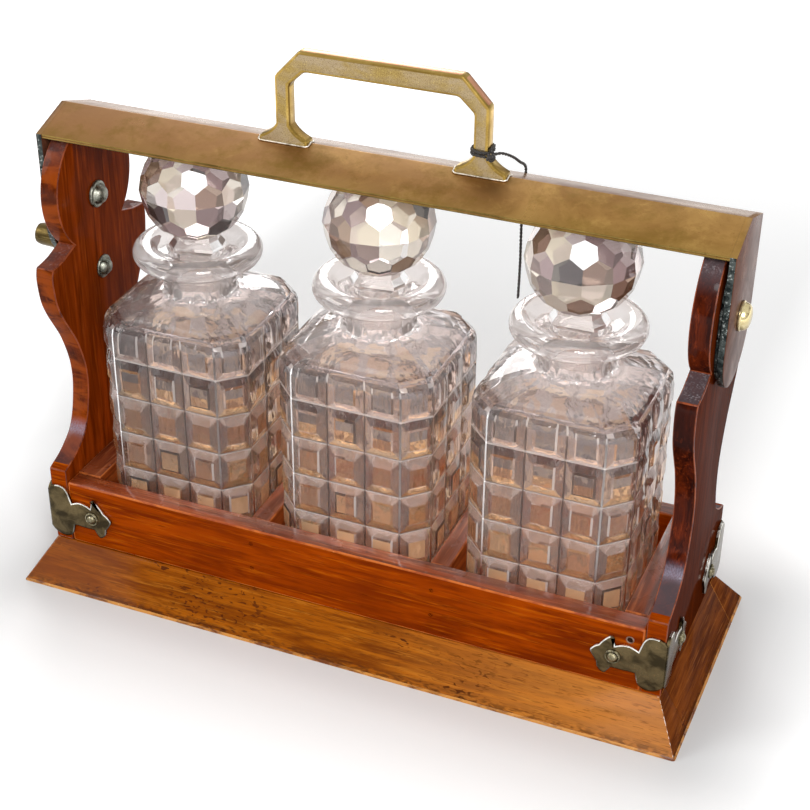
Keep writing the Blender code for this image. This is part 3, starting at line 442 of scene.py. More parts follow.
class Finish(Wiring):
    """One material and its shader."""

    def __init__(self, name, rough=0.4, metal=0.0):
        self.material = bpy.data.materials.new(name)
        self.material.use_nodes = True
        super().__init__(self.material.node_tree)
        self.shader = self.tree.nodes["Principled BSDF"]
        self.give("Roughness", rough)
        self.give("Metallic", metal)

    def give(self, name, value):
        self.plug(self.shader.inputs[name], value)

    def colour(self):
        """What the shader's colour comes from so far."""
        return self.shader.inputs["Base Color"].links[0].from_socket

    def relief(self, height, depth, before=None):
        node = self.add("ShaderNodeBump")
        node.inputs["Strength"].default_value = 1.0
        self.plug(node.inputs["Distance"], depth)
        self.plug(node.inputs["Height"], height)
        if before is not None:
            self.plug(node.inputs["Normal"], before)
        self.plug(self.shader.inputs["Normal"], node.outputs["Normal"])
        return node.outputs["Normal"]


def along(axis, length, width):
    """Sizes of a feature that runs along one axis."""
    return tuple(length if letter == axis else width for letter in "XYZ")


# Woods under old polish
def polished_wood(
    name, axis, deep, body, light, shift=(0, 0, 0), gloss=0.16, dark_share=0.5, shine=0.12, pore=0.62
):
    """Wood with its figure along the axis, dark pores, a few nicks and an uneven polish."""
    wood = Finish(name)
    figure = wood.noise(along(axis, 0.085, 0.0065), 4, 0.6, 1.1, shift)
    streaks = wood.noise(along(axis, 0.030, 0.0016), 3, 0.6, 0.3, shift)
    fibres = wood.noise(along(axis, 0.012, 0.00042), 2, 0.6, 0.0, shift)
    clouds = wood.noise((0.05, 0.04, 0.045), 2, 0.5, 0.4, shift)
    colour = wood.mix(wood.reach(figure, 0.34, 0.68), deep, body)
    colour = wood.mix(wood.sum(wood.reach(streaks, 0.5, 0.78), 0.75), colour, light)
    colour = wood.mix(wood.sum(wood.reach(clouds, 0.5, 0.75), dark_share), colour, deep)
    pores = wood.sum(wood.reach(fibres, 0.56, 0.70), wood.reach(streaks, 0.35, 0.6))
    shadow = (deep[0] * 0.35, deep[1] * 0.3, deep[2] * 0.3, 1)
    colour = wood.mix(wood.sum(pores, pore), colour, shadow)
    nicks = wood.reach(wood.noise(0.009, 4, 0.7, 0.0, (3, 1, 2)), 0.70, 0.76)
    colour = wood.mix(wood.sum(nicks, 0.6), colour, shadow)
    wood.give("Base Color", colour)
    dull = wood.noise(0.03, 4, 0.6, 0.3, (7, 0, 1))
    wood.give("Roughness", wood.reach(dull, 0.3, 0.75, gloss, gloss + 0.26))
    first = wood.relief(wood.sum(pores, -1.0), 0.00006)
    wood.relief(wood.noise(0.018, 2, 0.5, 0.0), 0.00035, first)
    glossy = shine > 0.2
    wood.shader.inputs["Specular IOR Level"].default_value = shine if glossy else 0.0
    wood.shader.inputs["Coat Weight"].default_value = shine * (0.7 if glossy else 1.6)
    wood.shader.inputs["Coat Roughness"].default_value = 0.10
    wood.shader.inputs["Coat IOR"].default_value = 1.45
    return wood


def worn_arris(name, axis, rubbed, deep, pale_share):
    """The lighter, rubbed wood of an edge, with the polish left in places."""
    edge = Finish(name, rough=0.34)
    wear = edge.noise(along(axis, 0.014, 0.004), 4, 0.65, 0.4, (2, 5, 1))
    chips = edge.noise(0.0022, 2, 0.6, 0.0, (4, 4, 0))
    colour = edge.mix(edge.reach(wear, 0.36, 0.58), deep, rubbed)
    pale = edge.sum(edge.reach(chips, 0.58, 0.72), edge.reach(wear, 0.45, 0.65))
    colour = edge.mix(edge.sum(pale, pale_share), colour, tone(236, 205, 160))
    edge.give("Base Color", colour)
    edge.give("Roughness", edge.reach(wear, 0.3, 0.7, 0.26, 0.52))
    edge.relief(chips, 0.00012)
    edge.shader.inputs["Specular IOR Level"].default_value = 0.3
    return edge.material


def worn_ridge(name, rubbed, deep, pale):
    """A ridge rubbed through to pale wood, with a painted highlight along it, most of all at the right-hand
    end of the front.
    """
    ridge = Finish(name, rough=0.3)
    wear = ridge.noise((0.0022, 0.0022, 0.0016), 3, 0.6, 0.2, (2, 5, 1))
    colour = ridge.mix(ridge.reach(wear, 0.36, 0.58), deep, rubbed)
    # Painted highlight: the pale wood grows towards the right-hand end and the front of the ridge.
    right = ridge.reach(ridge.axis("X"), 0.05, 0.15, 0.1, 1.0)
    front = ridge.reach(ridge.axis("Y"), -0.04, -0.02, 1.0, 0.0)
    bare = ridge.sum(ridge.sum(ridge.reach(wear, 0.49, 0.56), right), front)
    colour = ridge.mix(bare, colour, pale)
    ridge.give("Base Color", colour)
    ridge.relief(wear, 0.0001)
    return ridge.material


def make_rail_looks():
    front = polished_wood(
        "rail_mahogany", "X", tone(112, 36, 0), tone(158, 62, 0), tone(190, 92, 8), shine=0.03
    )
    pale_joints(front)
    # The top faces take a greyer copy of the same mahogany: a painted sheen in its colour, besides their real
    # gloss.
    tones = tone(96, 40, 18), tone(148, 68, 32), tone(186, 106, 62)
    top = polished_wood("rail_top_mahogany_painted_sheen", "X", *tones, shift=(1, 2, 0), gloss=0.12, shine=0.5)
    arris = worn_arris("rail_arris", "X", tone(200, 104, 30), tone(150, 60, 14), 0.25)
    return front.material, arris, top.material


def pale_joints(wood):
    """Old white polish along the foot of the gallery and beside its ends, thicker at the left."""
    clean = wood.colour()
    crumbs = wood.noise((0.0014, 0.003, 0.0014), 3, 0.7, 0.0, (6, 1, 1))
    patches = wood.noise(0.03, 2, 0.5, 0.0, (1, 8, 2))
    foot = wood.reach(wood.axis("Z"), 0.0236, 0.0243, 1.0, 0.0)
    left = wood.reach(wood.axis("X"), -0.10, 0.10, 1.0, 0.25)
    foot = wood.sum(wood.sum(foot, left), wood.reach(patches, 0.3, 0.5))
    far = wood.sum(wood.axis("X"), 0.0, "ABSOLUTE")
    ends = wood.sum(wood.reach(far, 0.1597, 0.1601), wood.reach(far, 0.1606, 0.1610, 1.0, 0.0))
    share = wood.sum(wood.sum(foot, ends, "MAXIMUM"), wood.reach(crumbs, 0.36, 0.52))
    wood.give("Base Color", wood.mix(share, clean, tone(226, 214, 204)))


def make_cross_looks():
    tones = tone(104, 42, 14), tone(156, 74, 30), tone(190, 108, 52)
    side = polished_wood("divider_mahogany", "Y", *tones, shift=(4, 2, 2))
    # The top faces take a greyer copy of the same mahogany: a painted sheen in its colour, besides their real
    # gloss.
    tones = tone(92, 40, 20), tone(146, 74, 42), tone(184, 112, 72)
    top = polished_wood("divider_top_mahogany_painted_sheen", "Y", *tones, shift=(2, 7, 2), gloss=0.13, shine=0.5)
    arris = worn_arris("divider_arris", "Y", tone(184, 100, 44), tone(120, 54, 20), 0.2)
    return side.material, arris, top.material


def make_upright_looks():
    tones = tone(92, 32, 2), tone(134, 52, 8), tone(156, 68, 16)
    inner = polished_wood("upright_mahogany", "Z", *tones, shift=(0, 3, 1), shine=0.05, pore=0.2)
    # Painted shade: the outer faces of the uprights are darkened below the inner ones.
    far = inner.sum(inner.axis("X"), 0.0, "ABSOLUTE")
    outside = inner.reach(far, 0.1655, 0.1695, 0.0, 0.62)
    inner.give("Base Color", inner.mix(outside, inner.colour(), tone(54, 20, 8)))
    arris = worn_arris("upright_arris", "Z", tone(146, 66, 24), tone(82, 28, 8), 0.12)
    tones = tone(40, 12, 7), tone(92, 32, 10), tone(134, 52, 18)
    edge = polished_wood(
        "upright_edge_grain", "Z", *tones, shift=(2, 0, 5), gloss=0.10, dark_share=0.8, shine=0.10
    )
    left = edge.reach(edge.axis("X"), -0.05, 0.05, 1.0, 0.0)
    bands = edge.noise((0.03, 0.03, 0.010), 4, 0.6, 0.8, (1, 4, 2))
    bands = edge.sum(left, edge.reach(bands, 0.40, 0.60, 0.15, 0.8))
    edge.give("Base Color", edge.mix(bands, edge.colour(), tone(152, 68, 16)))
    dust_and_painted_sheen(edge)
    return inner.material, arris, edge.material


def dust_and_painted_sheen(edge):
    """A grey film and white grains where an edge looks up, most at the right, and a painted sheen with brush
    lines where it slopes low down.
    """
    across = edge.axis("X")
    rise = edge.upward()
    upward = edge.reach(rise, 0.42, 0.75)
    film = edge.sum(upward, edge.reach(across, -0.05, 0.05, 0.3, 0.7))
    colour = edge.mix(film, edge.colour(), tone(92, 80, 84))
    # Painted sheen: a pale bluish reflection with brush lines, painted on the sloping faces low down.
    painted_sheen_brush_lines = edge.reach(edge.noise((0.0006, 0.0006, 0.02), 2, 0.5, 0.0), 0.3, 0.7, 0.35, 0.75)
    sloping = edge.sum(edge.reach(rise, 0.35, 0.55), edge.reach(rise, 0.62, 0.8, 1.0, 0.0))
    low = edge.reach(edge.axis("Z"), 0.13, 0.11)
    painted_sheen = edge.sum(edge.sum(sloping, painted_sheen_brush_lines), low)
    colour = edge.mix(painted_sheen, colour, tone(150, 142, 160))
    level = edge.sum(edge.reach(rise, 0.6, 0.8, 0.0, 0.42), edge.sum(1.0, low, "SUBTRACT"))
    grains = edge.reach(edge.noise(0.0010, 3, 0.6, 0.0), 0.46, 0.72)
    patches = edge.noise(0.006, 3, 0.55, 0.4, (0, 6, 1))
    grains = edge.sum(grains, edge.reach(patches, 0.40, 0.62, 0.1, 1.15))
    grains = edge.sum(grains, edge.reach(across, -0.05, 0.05, 0.3, 1.0))
    grains = edge.sum(edge.sum(grains, upward), level)
    edge.give("Base Color", edge.mix(grains, colour, tone(198, 192, 196)))


def make_plinth_looks(axis, name, deep, body, light):
    """Oak with dashes along its grain, clusters of dark flecks, darker towards its foot, and on the long
    strips painted shade at the left end and painted light at the right.
    """
    oak = polished_wood(
        name, axis, deep, body, light, shift=(5, 1, 2), gloss=0.2, dark_share=0.35, shine=0.05
    )
    across = oak.axis("X")
    colour = oak.colour()
    # Painted shade darkens the left end of the long strips, and painted light brightens their right end.
    if axis == "X":
        left = oak.reach(across, -0.17, -0.06, 0.45, 0.0)
        right = oak.reach(across, 0.0, 0.16, 0.0, 0.5)
        colour = oak.mix(right, oak.mix(left, colour, deep), tone(216, 142, 66))
    dashes = oak.reach(oak.noise(along(axis, 0.0075, 0.0006), 2, 0.5, 0.3, (3, 5, 0)), 0.57, 0.68)
    colour = oak.mix(oak.sum(dashes, 0.6), colour, tone(104, 52, 12))
    clusters = oak.reach(oak.noise(along(axis, 0.045, 0.014), 2, 0.5, 0.3, (1, 0, 7)), 0.53, 0.68)
    marked = oak.sum(oak.reach(across, -0.11, -0.085), oak.reach(across, -0.05, -0.03, 1.0, 0.0))
    clusters = oak.sum(clusters, oak.sum(marked, 0.9), "MAXIMUM")
    rays = oak.noise(along(axis, 0.0042, 0.0016), 1, 0.5, 0.6, (0, 9, 3))
    flecks = oak.sum(oak.reach(rays, 0.58, 0.67), clusters)
    colour = oak.mix(oak.sum(flecks, 0.85), colour, tone(70, 28, 10))
    # Darker towards the foot.
    low = oak.reach(oak.axis("Z"), 0.001, 0.0055, 1.0, 0.0)
    darker_foot = oak.sum(low, oak.reach(rays, 0.35, 0.6))
    oak.give("Base Color", oak.mix(oak.sum(darker_foot, 0.7), colour, tone(62, 34, 16)))
    arris = worn_arris(name + "_arris", axis, tone(206, 140, 62), tone(112, 58, 18), 0.35)
    return oak.material, arris


# Brass, nickel and steel
def aged_brass(name, deep, body, bright, rough=(0.22, 0.42), scratches=1.0, axis="X", metal=1.0):
    """Brass with tarnished patches, rubbed places and fine scratches along the axis."""
    deep, body, bright = tone(*deep), tone(*body), tone(*bright)
    brass = Finish(name, metal=metal)
    patches = brass.noise((0.040, 0.030, 0.03), 5, 0.6, 0.4, (2, 0, 3))
    rubbed = brass.noise((0.016, 0.014, 0.014), 6, 0.7, 0.4, (8, 3, 1))
    spots = brass.noise(0.0016, 3, 0.6, 0.0)
    lines = brass.noise(along(axis, 0.03, 0.0003), 2, 0.6, 0.2, (1, 7, 0))
    colour = brass.mix(brass.reach(patches, 0.30, 0.66), deep, body)
    colour = brass.mix(brass.sum(brass.reach(rubbed, 0.50, 0.78), 0.7), colour, bright)
    colour = brass.mix(brass.sum(brass.reach(spots, 0.6, 0.74), 0.55), colour, deep)
    colour = brass.mix(brass.sum(brass.reach(lines, 0.58, 0.66), 0.35 * scratches), colour, bright)
    brass.give("Base Color", colour)
    tarnish = brass.sum(brass.reach(patches, 0.3, 0.7, rough[1], rough[0]), 0.04, "ADD")
    brass.give("Roughness", tarnish)
    first = brass.relief(lines, 0.00001 * scratches)
    brass.relief(brass.noise(0.011, 2, 0.5, 0.0), 0.00022, first)
    if metal < 1:
        brass.shader.inputs["Specular IOR Level"].default_value = 0.04
    return brass


def shade_bar(brass):
    """Painted shade that browns the left end of the bar, a paler, pinker middle, greener towards its lower
    edge, and spots.
    """
    colour = brass.colour()
    # The first row is painted shade on the left end. The second turns everything left of the middle paler and
    # pinker.
    for letter, low, high, share, shade in (
        ("X", -0.02, -0.15, 0.65, tone(118, 70, 36)),
        ("X", 0.10, 0.02, 0.30, tone(196, 150, 108)),
        ("Y", -0.015, -0.025, 0.30, tone(124, 104, 46)),
    ):
        shaded = brass.reach(brass.axis(letter), low, high, 0.0, share, "LINEAR")
        colour = brass.mix(shaded, colour, shade)
    spots = brass.noise(1 / 46, 7, 0.72)
    spots = brass.reach(spots, 0.48, 0.66, 0.0, 0.75, "LINEAR")
    brass.give("Base Color", brass.mix(spots, colour, tone(130, 100, 44)))


def make_brasses():
    """Name, deep, body and bright tones, then range of roughness, scratches, their axis and metal."""
    rows = (
        ("bar_brass", (136, 98, 50), (174, 134, 76), (200, 160, 92), (0.22, 0.42), 0.0),
        # The bar's back slope takes a paler, pinker copy of its brass: a painted reflection.
        ("bar_back_brass", (124, 88, 60), (162, 126, 92), (190, 158, 126), (0.2, 0.3), 0.0, "X", 0.25),
        ("bar_lip_brass", (84, 68, 32), (140, 116, 62), (190, 162, 96)),
        ("rubbed_brass_edge", (150, 116, 54), (206, 172, 100), (236, 212, 150), (0.2, 0.34)),
        ("arm_brass", (72, 38, 24), (108, 64, 46), (134, 90, 66), (0.2, 0.34), 0.0, "Z", 0.08),
        ("knob_brass", (150, 130, 88), (222, 206, 156), (248, 242, 216), (0.12, 0.24)),
        ("barrel_brass", (58, 46, 24), (112, 94, 54), (170, 150, 96)),
        ("handle_chamfer_brass", (126, 100, 44), (174, 144, 74), (220, 190, 116), (0.22, 0.36)),
        ("handle_top_copper", (186, 126, 92), (212, 156, 120), (232, 184, 146), (0.2, 0.34), 0.0),
    )
    brasses = {row[0]: aged_brass(*row) for row in rows}
    shade_bar(brasses["bar_brass"])
    return {name: brass.material for name, brass in brasses.items()}


def granular_brass(name):
    """The matt, stippled faces of the carry handle, with painted gold glints among its grains and bright gold
    where it is rubbed bare.
    """
    cast = Finish(name, metal=1.0)
    grains = cast.noise(0.00034, 3, 0.7, 0.0)
    glints = cast.noise(0.00055, 2, 0.6, 0.0, (4, 1, 6))
    bare = cast.noise((0.02, 0.02, 0.014), 3, 0.6, 0.5, (3, 3, 0))
    colour = cast.mix(cast.reach(bare, 0.36, 0.64), tone(168, 150, 120), tone(162, 138, 82))
    colour = cast.mix(cast.sum(cast.reach(grains, 0.5, 0.64), 0.7), colour, tone(116, 92, 52))
    rich = cast.sum(cast.reach(glints, 0.60, 0.70), cast.reach(bare, 0.3, 0.6, 0.25, 0.85))
    colour = cast.mix(rich, colour, tone(238, 214, 130))
    cast.give("Base Color", colour)
    cast.give("Roughness", cast.reach(grains, 0.35, 0.65, 0.34, 0.55))
    cast.relief(grains, 0.00012)
    return cast.material


def dark_nickel(name, worn=False):
    """Nickel gone olive, or its rubbed edge, bright with painted light where the edge looks up and dark with
    painted shade where it looks down.
    """
    deep = tone(58, 50, 34)
    nickel = Finish(name, metal=1.0)
    patches = nickel.noise((0.009, 0.009, 0.008), 3, 0.55, 0.5)
    specks = nickel.noise(0.0011, 3, 0.6, 0.0)
    if worn:
        bright = nickel.mix(nickel.reach(patches, 0.3, 0.6), tone(132, 130, 118), tone(236, 234, 226))
        # Painted light and shade: the rubbed edge is near white where it looks up and dark where it looks
        # down.
        colour = nickel.mix(nickel.reach(nickel.upward(), -0.25, 0.15), tone(66, 62, 50), bright)
    else:
        colour = nickel.mix(nickel.reach(patches, 0.36, 0.64), deep, tone(108, 94, 66))
    speckled = nickel.sum(nickel.reach(specks, 0.55, 0.7), 0.25)
    nickel.give("Base Color", nickel.mix(speckled, colour, deep))
    nickel.give("Roughness", nickel.reach(patches, 0.3, 0.7, 0.16, 0.28))
    nickel.relief(specks, 0.00005)
    return nickel.material


def dull_steel(name, deep, body, glint, speck=0.0007, share=0.8):
    """Grey metal with bright specks of the given size, which are painted glints."""
    steel = Finish(name, metal=1.0)
    patches = steel.noise(0.004, 4, 0.65, 0.5)
    specks = steel.noise(speck, 2, 0.6, 0.0, (5, 0, 0))
    colour = steel.mix(steel.reach(patches, 0.38, 0.62), deep, body)
    colour = steel.mix(steel.sum(steel.reach(specks, 0.56, 0.72), share), colour, glint)
    steel.give("Base Color", colour)
    steel.give("Roughness", steel.reach(patches, 0.3, 0.7, 0.24, 0.5))
    steel.relief(specks, 0.00009)
    return steel.material


# Cut glass and thread
def clear_glass(name, tint, wave, clear, frost=0.0, streaked=False):
    """Lead glass, which lets the lamps through to the wood behind it."""
    glass = Finish(name, rough=0.0)
    shader = glass.shader
    shader.inputs["Transmission Weight"].default_value = clear
    shader.inputs["IOR"].default_value = 1.54
    shader.inputs["Base Color"].default_value = tint
    haze = glass.noise(0.03, 3, 0.5, 0.3)
    glass.give("Roughness", glass.reach(haze, 0.45, 0.8, frost, frost + 0.03))
    if wave:
        if streaked:
            broad, fine, share = (0.008, 0.008, 0.030), (0.0018, 0.0018, 0.014), 0.16
        else:
            broad, fine, share = (0.012, 0.012, 0.018), (0.0036, 0.0036, 0.006), 0.09
        first = glass.relief(glass.noise(broad, 2, 0.5, 0.4), wave)
        glass.relief(glass.noise(fine, 2, 0.6, 0.3), wave * share, first)
    through = glass.add("ShaderNodeBsdfTransparent", (0.95, 0.93, 0.915, 1))
    shadow = glass.rays("Is Shadow Ray")
    glass.end_in(
        "Material Output", "ShaderNodeMixShader", shadow, shader.outputs[0], through.outputs[0]
    )
    return glass.material


# Number of each glass among the looks of a decanter
GLASS, UPPER_BEVEL, LOWER_BEVEL, SIDE_BEVEL, WINDOW, BROWN_WINDOW = range(6)
GREY_WINDOW, BRIGHT_LINE, DARK_LINE, NECK, LOW_WINDOW = range(6, 11)


def decanter_glasses(name, shade=1.0):
    """The glasses in that order, all a little darker where the carafe stands in the shade."""
    # Each tint paints into the glass what it shows by reflection and refraction: bright highlights, dark
    # lines, the warm wood seen through the cuts and the grey of the room.
    rows = (
        ("glass", (220, 211, 210), 0.0008, 0.965),
        ("upper_bevel", (242, 220, 208), 0.0004, 0.80, 0.06),
        ("lower_bevel", (246, 202, 148), 0.0009, 0.86),
        ("side_bevel", (190, 168, 158), 0.0012, 0.93, 0.0, True),
        ("window", (250, 198, 140), 0.0014, 0.86),
        ("brown_window", (222, 164, 116), 0.0014, 0.90, 0.0, True),
        ("grey_window", (146, 140, 142), 0.0014, 0.93, 0.0, True),
        ("bright_line", (240, 232, 228), 0.0006, 0.66, 0.08),
        ("dark_line", (88, 72, 66), 0.0, 0.92, 0.4),
        ("neck", (244, 238, 236), 0.0003, 0.86),
        ("low_window", (255, 214, 166), 0.0014, 0.68),
    )
    glasses = []
    for part, tint, *rest in rows:
        tint = tone(*(share * shade for share in tint))
        glasses.append(clear_glass(f"{name}_{part}", tint, *rest))
    return glasses


def waxed_thread():
    thread = Finish("black_waxed_thread", rough=0.6)
    fibres = thread.noise(0.0003, 2, 0.6, 0.0)
    thread.give("Base Color", thread.mix(fibres, tone(12, 11, 11), tone(58, 52, 48)))
    thread.give("Roughness", thread.reach(fibres, 0.3, 0.7, 0.45, 0.8))
    thread.relief(fibres, 0.00005)
    thread.shader.inputs["Sheen Weight"].default_value = 0.25
    thread.shader.inputs["Sheen Roughness"].default_value = 0.4
    return thread.material


# The looks of all pieces
RAIL_FRONT, RAIL_ARRIS, RAIL_TOP_PAINTED_SHEEN = make_rail_looks()
CROSS_LOOKS = make_cross_looks()
UPRIGHT_FACE, UPRIGHT_ARRIS, UPRIGHT_EDGE = make_upright_looks()
OAK_LONG, OAK_LONG_ARRIS = make_plinth_looks(
    "X", "plinth_oak", tone(114, 52, 4), tone(170, 92, 12), tone(196, 122, 34)
)
OAK_END, OAK_END_ARRIS = make_plinth_looks(
    "Y", "plinth_end_oak", tone(84, 36, 8), tone(134, 68, 20), tone(172, 98, 38)
)
OAK_RIDGE = worn_ridge("plinth_ridge_wear_and_painted_highlight", tone(190, 122, 50), tone(126, 66, 20), tone(250, 240, 226))
OAK_BOARD = polished_wood(
    "base_board_oak", "X", tone(178, 118, 68), tone(218, 164, 112), tone(236, 190, 142), gloss=0.3
).material
PEG_LOOK = polished_wood(
    "peg_end_grain", "Y", tone(26, 8, 4), tone(48, 16, 6), tone(84, 34, 12), gloss=0.3
).material
BRASS = make_brasses()
CAST = granular_brass("handle_cast_brass")
SOLDER = dull_steel("bright_solder", tone(188, 178, 160), tone(232, 226, 214), tone(250, 248, 240))
NICKEL = dark_nickel("bracket_nickel")
NICKEL_EDGE = dark_nickel("bracket_rubbed_edge_painted_light", worn=True)
NICKEL_PIN = dull_steel("pin_nickel", tone(88, 80, 58), tone(142, 134, 106), tone(226, 220, 200))
HOLE_RIM = dull_steel("hole_rim", tone(96, 66, 52), tone(168, 140, 124), tone(226, 214, 206))
BOLT_STEEL = dull_steel("bolt_steel", tone(96, 98, 88), tone(148, 148, 136), tone(200, 200, 190))
ARM_RIM = dull_steel(
    "arm_dark_rim", tone(26, 32, 32), tone(72, 78, 76), tone(206, 212, 208), speck=0.0014, share=0.5
)
DECANTER_GLASSES = decanter_glasses("decanter")
SHADED_GLASSES = decanter_glasses("shaded_decanter", 0.955)
# Five facet tints, each a painted reflection of a part of the room.
STOPPER_GLASSES = [
    clear_glass(f"stopper_{name}_facet", tone(*tint), 0.0, clear)
    for name, tint, clear in (
        ("clear", (240, 236, 234), 0.85),
        ("cream", (226, 214, 194), 0.62),
        ("mauve", (160, 138, 138), 0.66),
        ("brown", (130, 100, 80), 0.66),
        ("dark", (62, 58, 58), 0.7),
    )
]
THREAD_LOOK = waxed_thread()


# Thread tied round the right leg of the handle
THREAD_WIDTH = 0.0012
THREAD_FOOT = FLARE_TOP + THREAD_WIDTH
THREAD_AIR = 0.0004
THREAD_PITCH = 0.0017
LEG_HALVES = (0.0038, 0.00385)
LEG_SQUARENESS = 2 / 3.4
WOUND_FROM = math.radians(-80)
WOUND = math.radians(660)
WOUND_STEPS = 29
THREAD_ROUTE = (
    (0.0565, -0.0030, 0.2667), (0.0590, -0.0002, 0.2664), (0.0612, 0.0042, 0.2642),
    (0.0626, 0.0100, 0.2606), (0.0630, 0.0164, 0.2563), (0.0629, 0.0219, 0.2533), (0.0626, 0.0260, 0.2501),
    (0.0623, 0.0278, 0.2455), (0.0620, 0.0279, 0.2390), (0.0617, 0.0274, 0.2300), (0.0617, 0.0268, 0.2200),
    (0.0619, 0.0267, 0.2100), (0.0621, 0.0266, 0.2000), (0.0621, 0.0264, 0.1900), (0.0620, 0.0262, 0.1800),
)


def thread_path():
    """The knot's lead, the turns round the leg and the hanging end, as in the solids."""
    half_x, half_y = (half + THREAD_AIR + THREAD_WIDTH / 2 for half in LEG_HALVES)
    turns = []
    for index in range(WOUND_STEPS + 1):
        swept = WOUND * index / WOUND_STEPS
        cos = math.cos(WOUND_FROM - swept)
        sin = math.sin(WOUND_FROM - swept)
        x = LEG_PLACE + half_x * math.copysign(abs(cos) ** LEG_SQUARENESS, cos)
        y = half_y * math.copysign(abs(sin) ** LEG_SQUARENESS, sin)
        turns.append(Vector((x, y, THREAD_FOOT + THREAD_PITCH * swept / math.tau)))
    knot = Vector((LEG_PLACE + 0.0058, -0.0058, THREAD_FOOT + 0.0004))
    start = knot - Vector((0.0022, 0, 0))
    tail = flowing([turns[-1]] + [Vector(point) for point in THREAD_ROUTE])
    return knot, [start, start.lerp(turns[0], 0.5)] + turns + [Vector(p) for p in tail[1:]]


def evenly(points, step):
    """The same line with its points a step apart."""
    line = [points[0].copy()]
    left = step
    for one, two in zip(points, points[1:]):
        length = (two - one).length
        done = 0.0
        while length - done >= left:
            done += left
            line.append(one.lerp(two, done / length))
            left = step
        left -= length - done
    return line


def spun_ply(name, path, start, offset=0.00034, radius=0.00044, twist=0.80):
    """One ply of the thread, wound about its path."""
    side = Vector((1, 0, 0))
    line = []
    for index, point in enumerate(path):
        ahead = path[min(index + 1, len(path) - 1)] - path[max(index - 1, 0)]
        ahead.normalize()
        side = (side - ahead * side.dot(ahead)).normalized()
        angle = start + twist * index
        away = side * math.cos(angle) + ahead.cross(side) * math.sin(angle)
        line.append(point + away * offset)
    return wire(name, line, radius, 1)


def drawn_knot(centre, count=72, reach=0.00115, swell=0.00055, rise=0.0010):
    """Points of an overhand knot drawn tight."""
    points = []
    for index in range(count):
        turn = math.tau * index / count
        swing = reach + swell * math.cos(3 * turn)
        place = (swing * math.cos(2 * turn), swing * math.sin(2 * turn), rise * math.sin(3 * turn))
        points.append(centre + Vector(place))
    return points + points[:1]


def make_thread():
    knot_place, path = thread_path()
    fine = evenly(path, 0.0005)
    plies = [spun_ply(f"thread_ply_{index}", fine, math.pi * index) for index in range(2)]
    take(plies[0])
    plies[1].select_set(True)
    bpy.ops.object.join()
    thread = named("tied_thread")
    dress(smooth(thread, 60), THREAD_LOOK)
    hand_over(thread, "swinging_bar", "thread", "key_thread")
    knot = wire("tied_knot", drawn_knot(knot_place), 0.00072, 1)
    dress(smooth(knot, 60), THREAD_LOOK)
    hand_over(knot, "swinging_bar", "thread", "thread_knot")


# Plinth and gallery
def plank(node, looks, width):
    """A board cut to its CAD node's box, with rubbed arrises and a top of its own look, whose colour holds a
    painted sheen.
    """
    low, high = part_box(node)
    bpy.ops.object.select_all(action="DESELECT")
    bpy.ops.mesh.primitive_cube_add(size=1, location=(low + high) / 2, scale=high - low)
    board = named(node + "_board")
    dress(settle(board), *looks)
    soften(board, width, segments=3, edge_look=True)
    broad = 30 * width * width
    paint(board, looks[2], lambda face: face.normal.z > 0.95 and face.area > broad)
    hand_over(smooth(board, 40), "stand", "mahogany", node)


def at_foot(face):
    """The arris along the foot of a plinth strip."""
    return face.center.z < 0.0017 and face.normal.z > -0.5


def at_mitre(face):
    """The ridge where two plinth strips meet."""
    return min(abs(face.normal.x), abs(face.normal.y)) > 0.22 and face.normal.z > 0.68


def make_plinth():
    for end, _ in ROWS:
        strip = copy_of("plinth_" + end, f"plinth_{end}_strip")
        dress(strip, OAK_LONG, OAK_LONG_ARRIS, OAK_RIDGE, OAK_END)
        soften(strip, 0.0003, angle=28)
        paint(strip, OAK_LONG_ARRIS, at_foot)
        paint(strip, OAK_RIDGE, at_mitre)
        paint(strip, OAK_END, lambda face: abs(face.normal.x) > 0.5 and face.material_index == 0)
        hand_over(smooth(strip, 40), "stand", "oak", "plinth_" + end)
    for end, _ in SIDES:
        strip = copy_of("plinth_" + end, f"plinth_{end}_strip")
        dress(strip, OAK_END, OAK_END_ARRIS)
        soften(strip, 0.00015, segments=1, angle=28)
        paint(strip, OAK_END_ARRIS, at_foot)
        hand_over(smooth(strip, 40), "stand", "oak", "plinth_" + end)


def make_gallery():
    for end, _ in ROWS:
        plank("rail_" + end, (RAIL_FRONT, RAIL_ARRIS, RAIL_TOP_PAINTED_SHEEN), 0.0011)
    for side, _ in SIDES:
        plank("end_strip_" + side, CROSS_LOOKS, 0.0008)
        plank("divider_" + side, CROSS_LOOKS, 0.0010)


# Uprights
SCROLL = (
    (0.0525, 0.06905), (0.0447, 0.0720), (0.0375, 0.0765), (0.0320, 0.0817), (0.0280, 0.0905),
    (0.0253, 0.1025), (0.0247, 0.1120), (0.0263, 0.1225), (0.0310, 0.1359), (0.0356, 0.1445),
    (0.0413, 0.1545), (0.0450, 0.1635), (0.0465, 0.1729), (0.0466, 0.1790), (0.0455, 0.1837),
)


def upright_outline():
    """The front half from the foot up, with its scroll and its round head, then its mirror image."""
    foot, step = 0.0234, 0.0680
    half = [(GALLERY_SIDE, foot), (GALLERY_SIDE, step)] + flowing(SCROLL)
    half += [(0.0400, 0.18418), (0.0345, 0.1850)]
    half += arc((0, 0.2145), 0.0353, -47.81, 90, 25)
    return mirrored(half)


def sawn_edge(face):
    """The fretted edge of an upright, short of its worn arrises."""
    return face.material_index == 0 and abs(face.normal.x) < 0.5


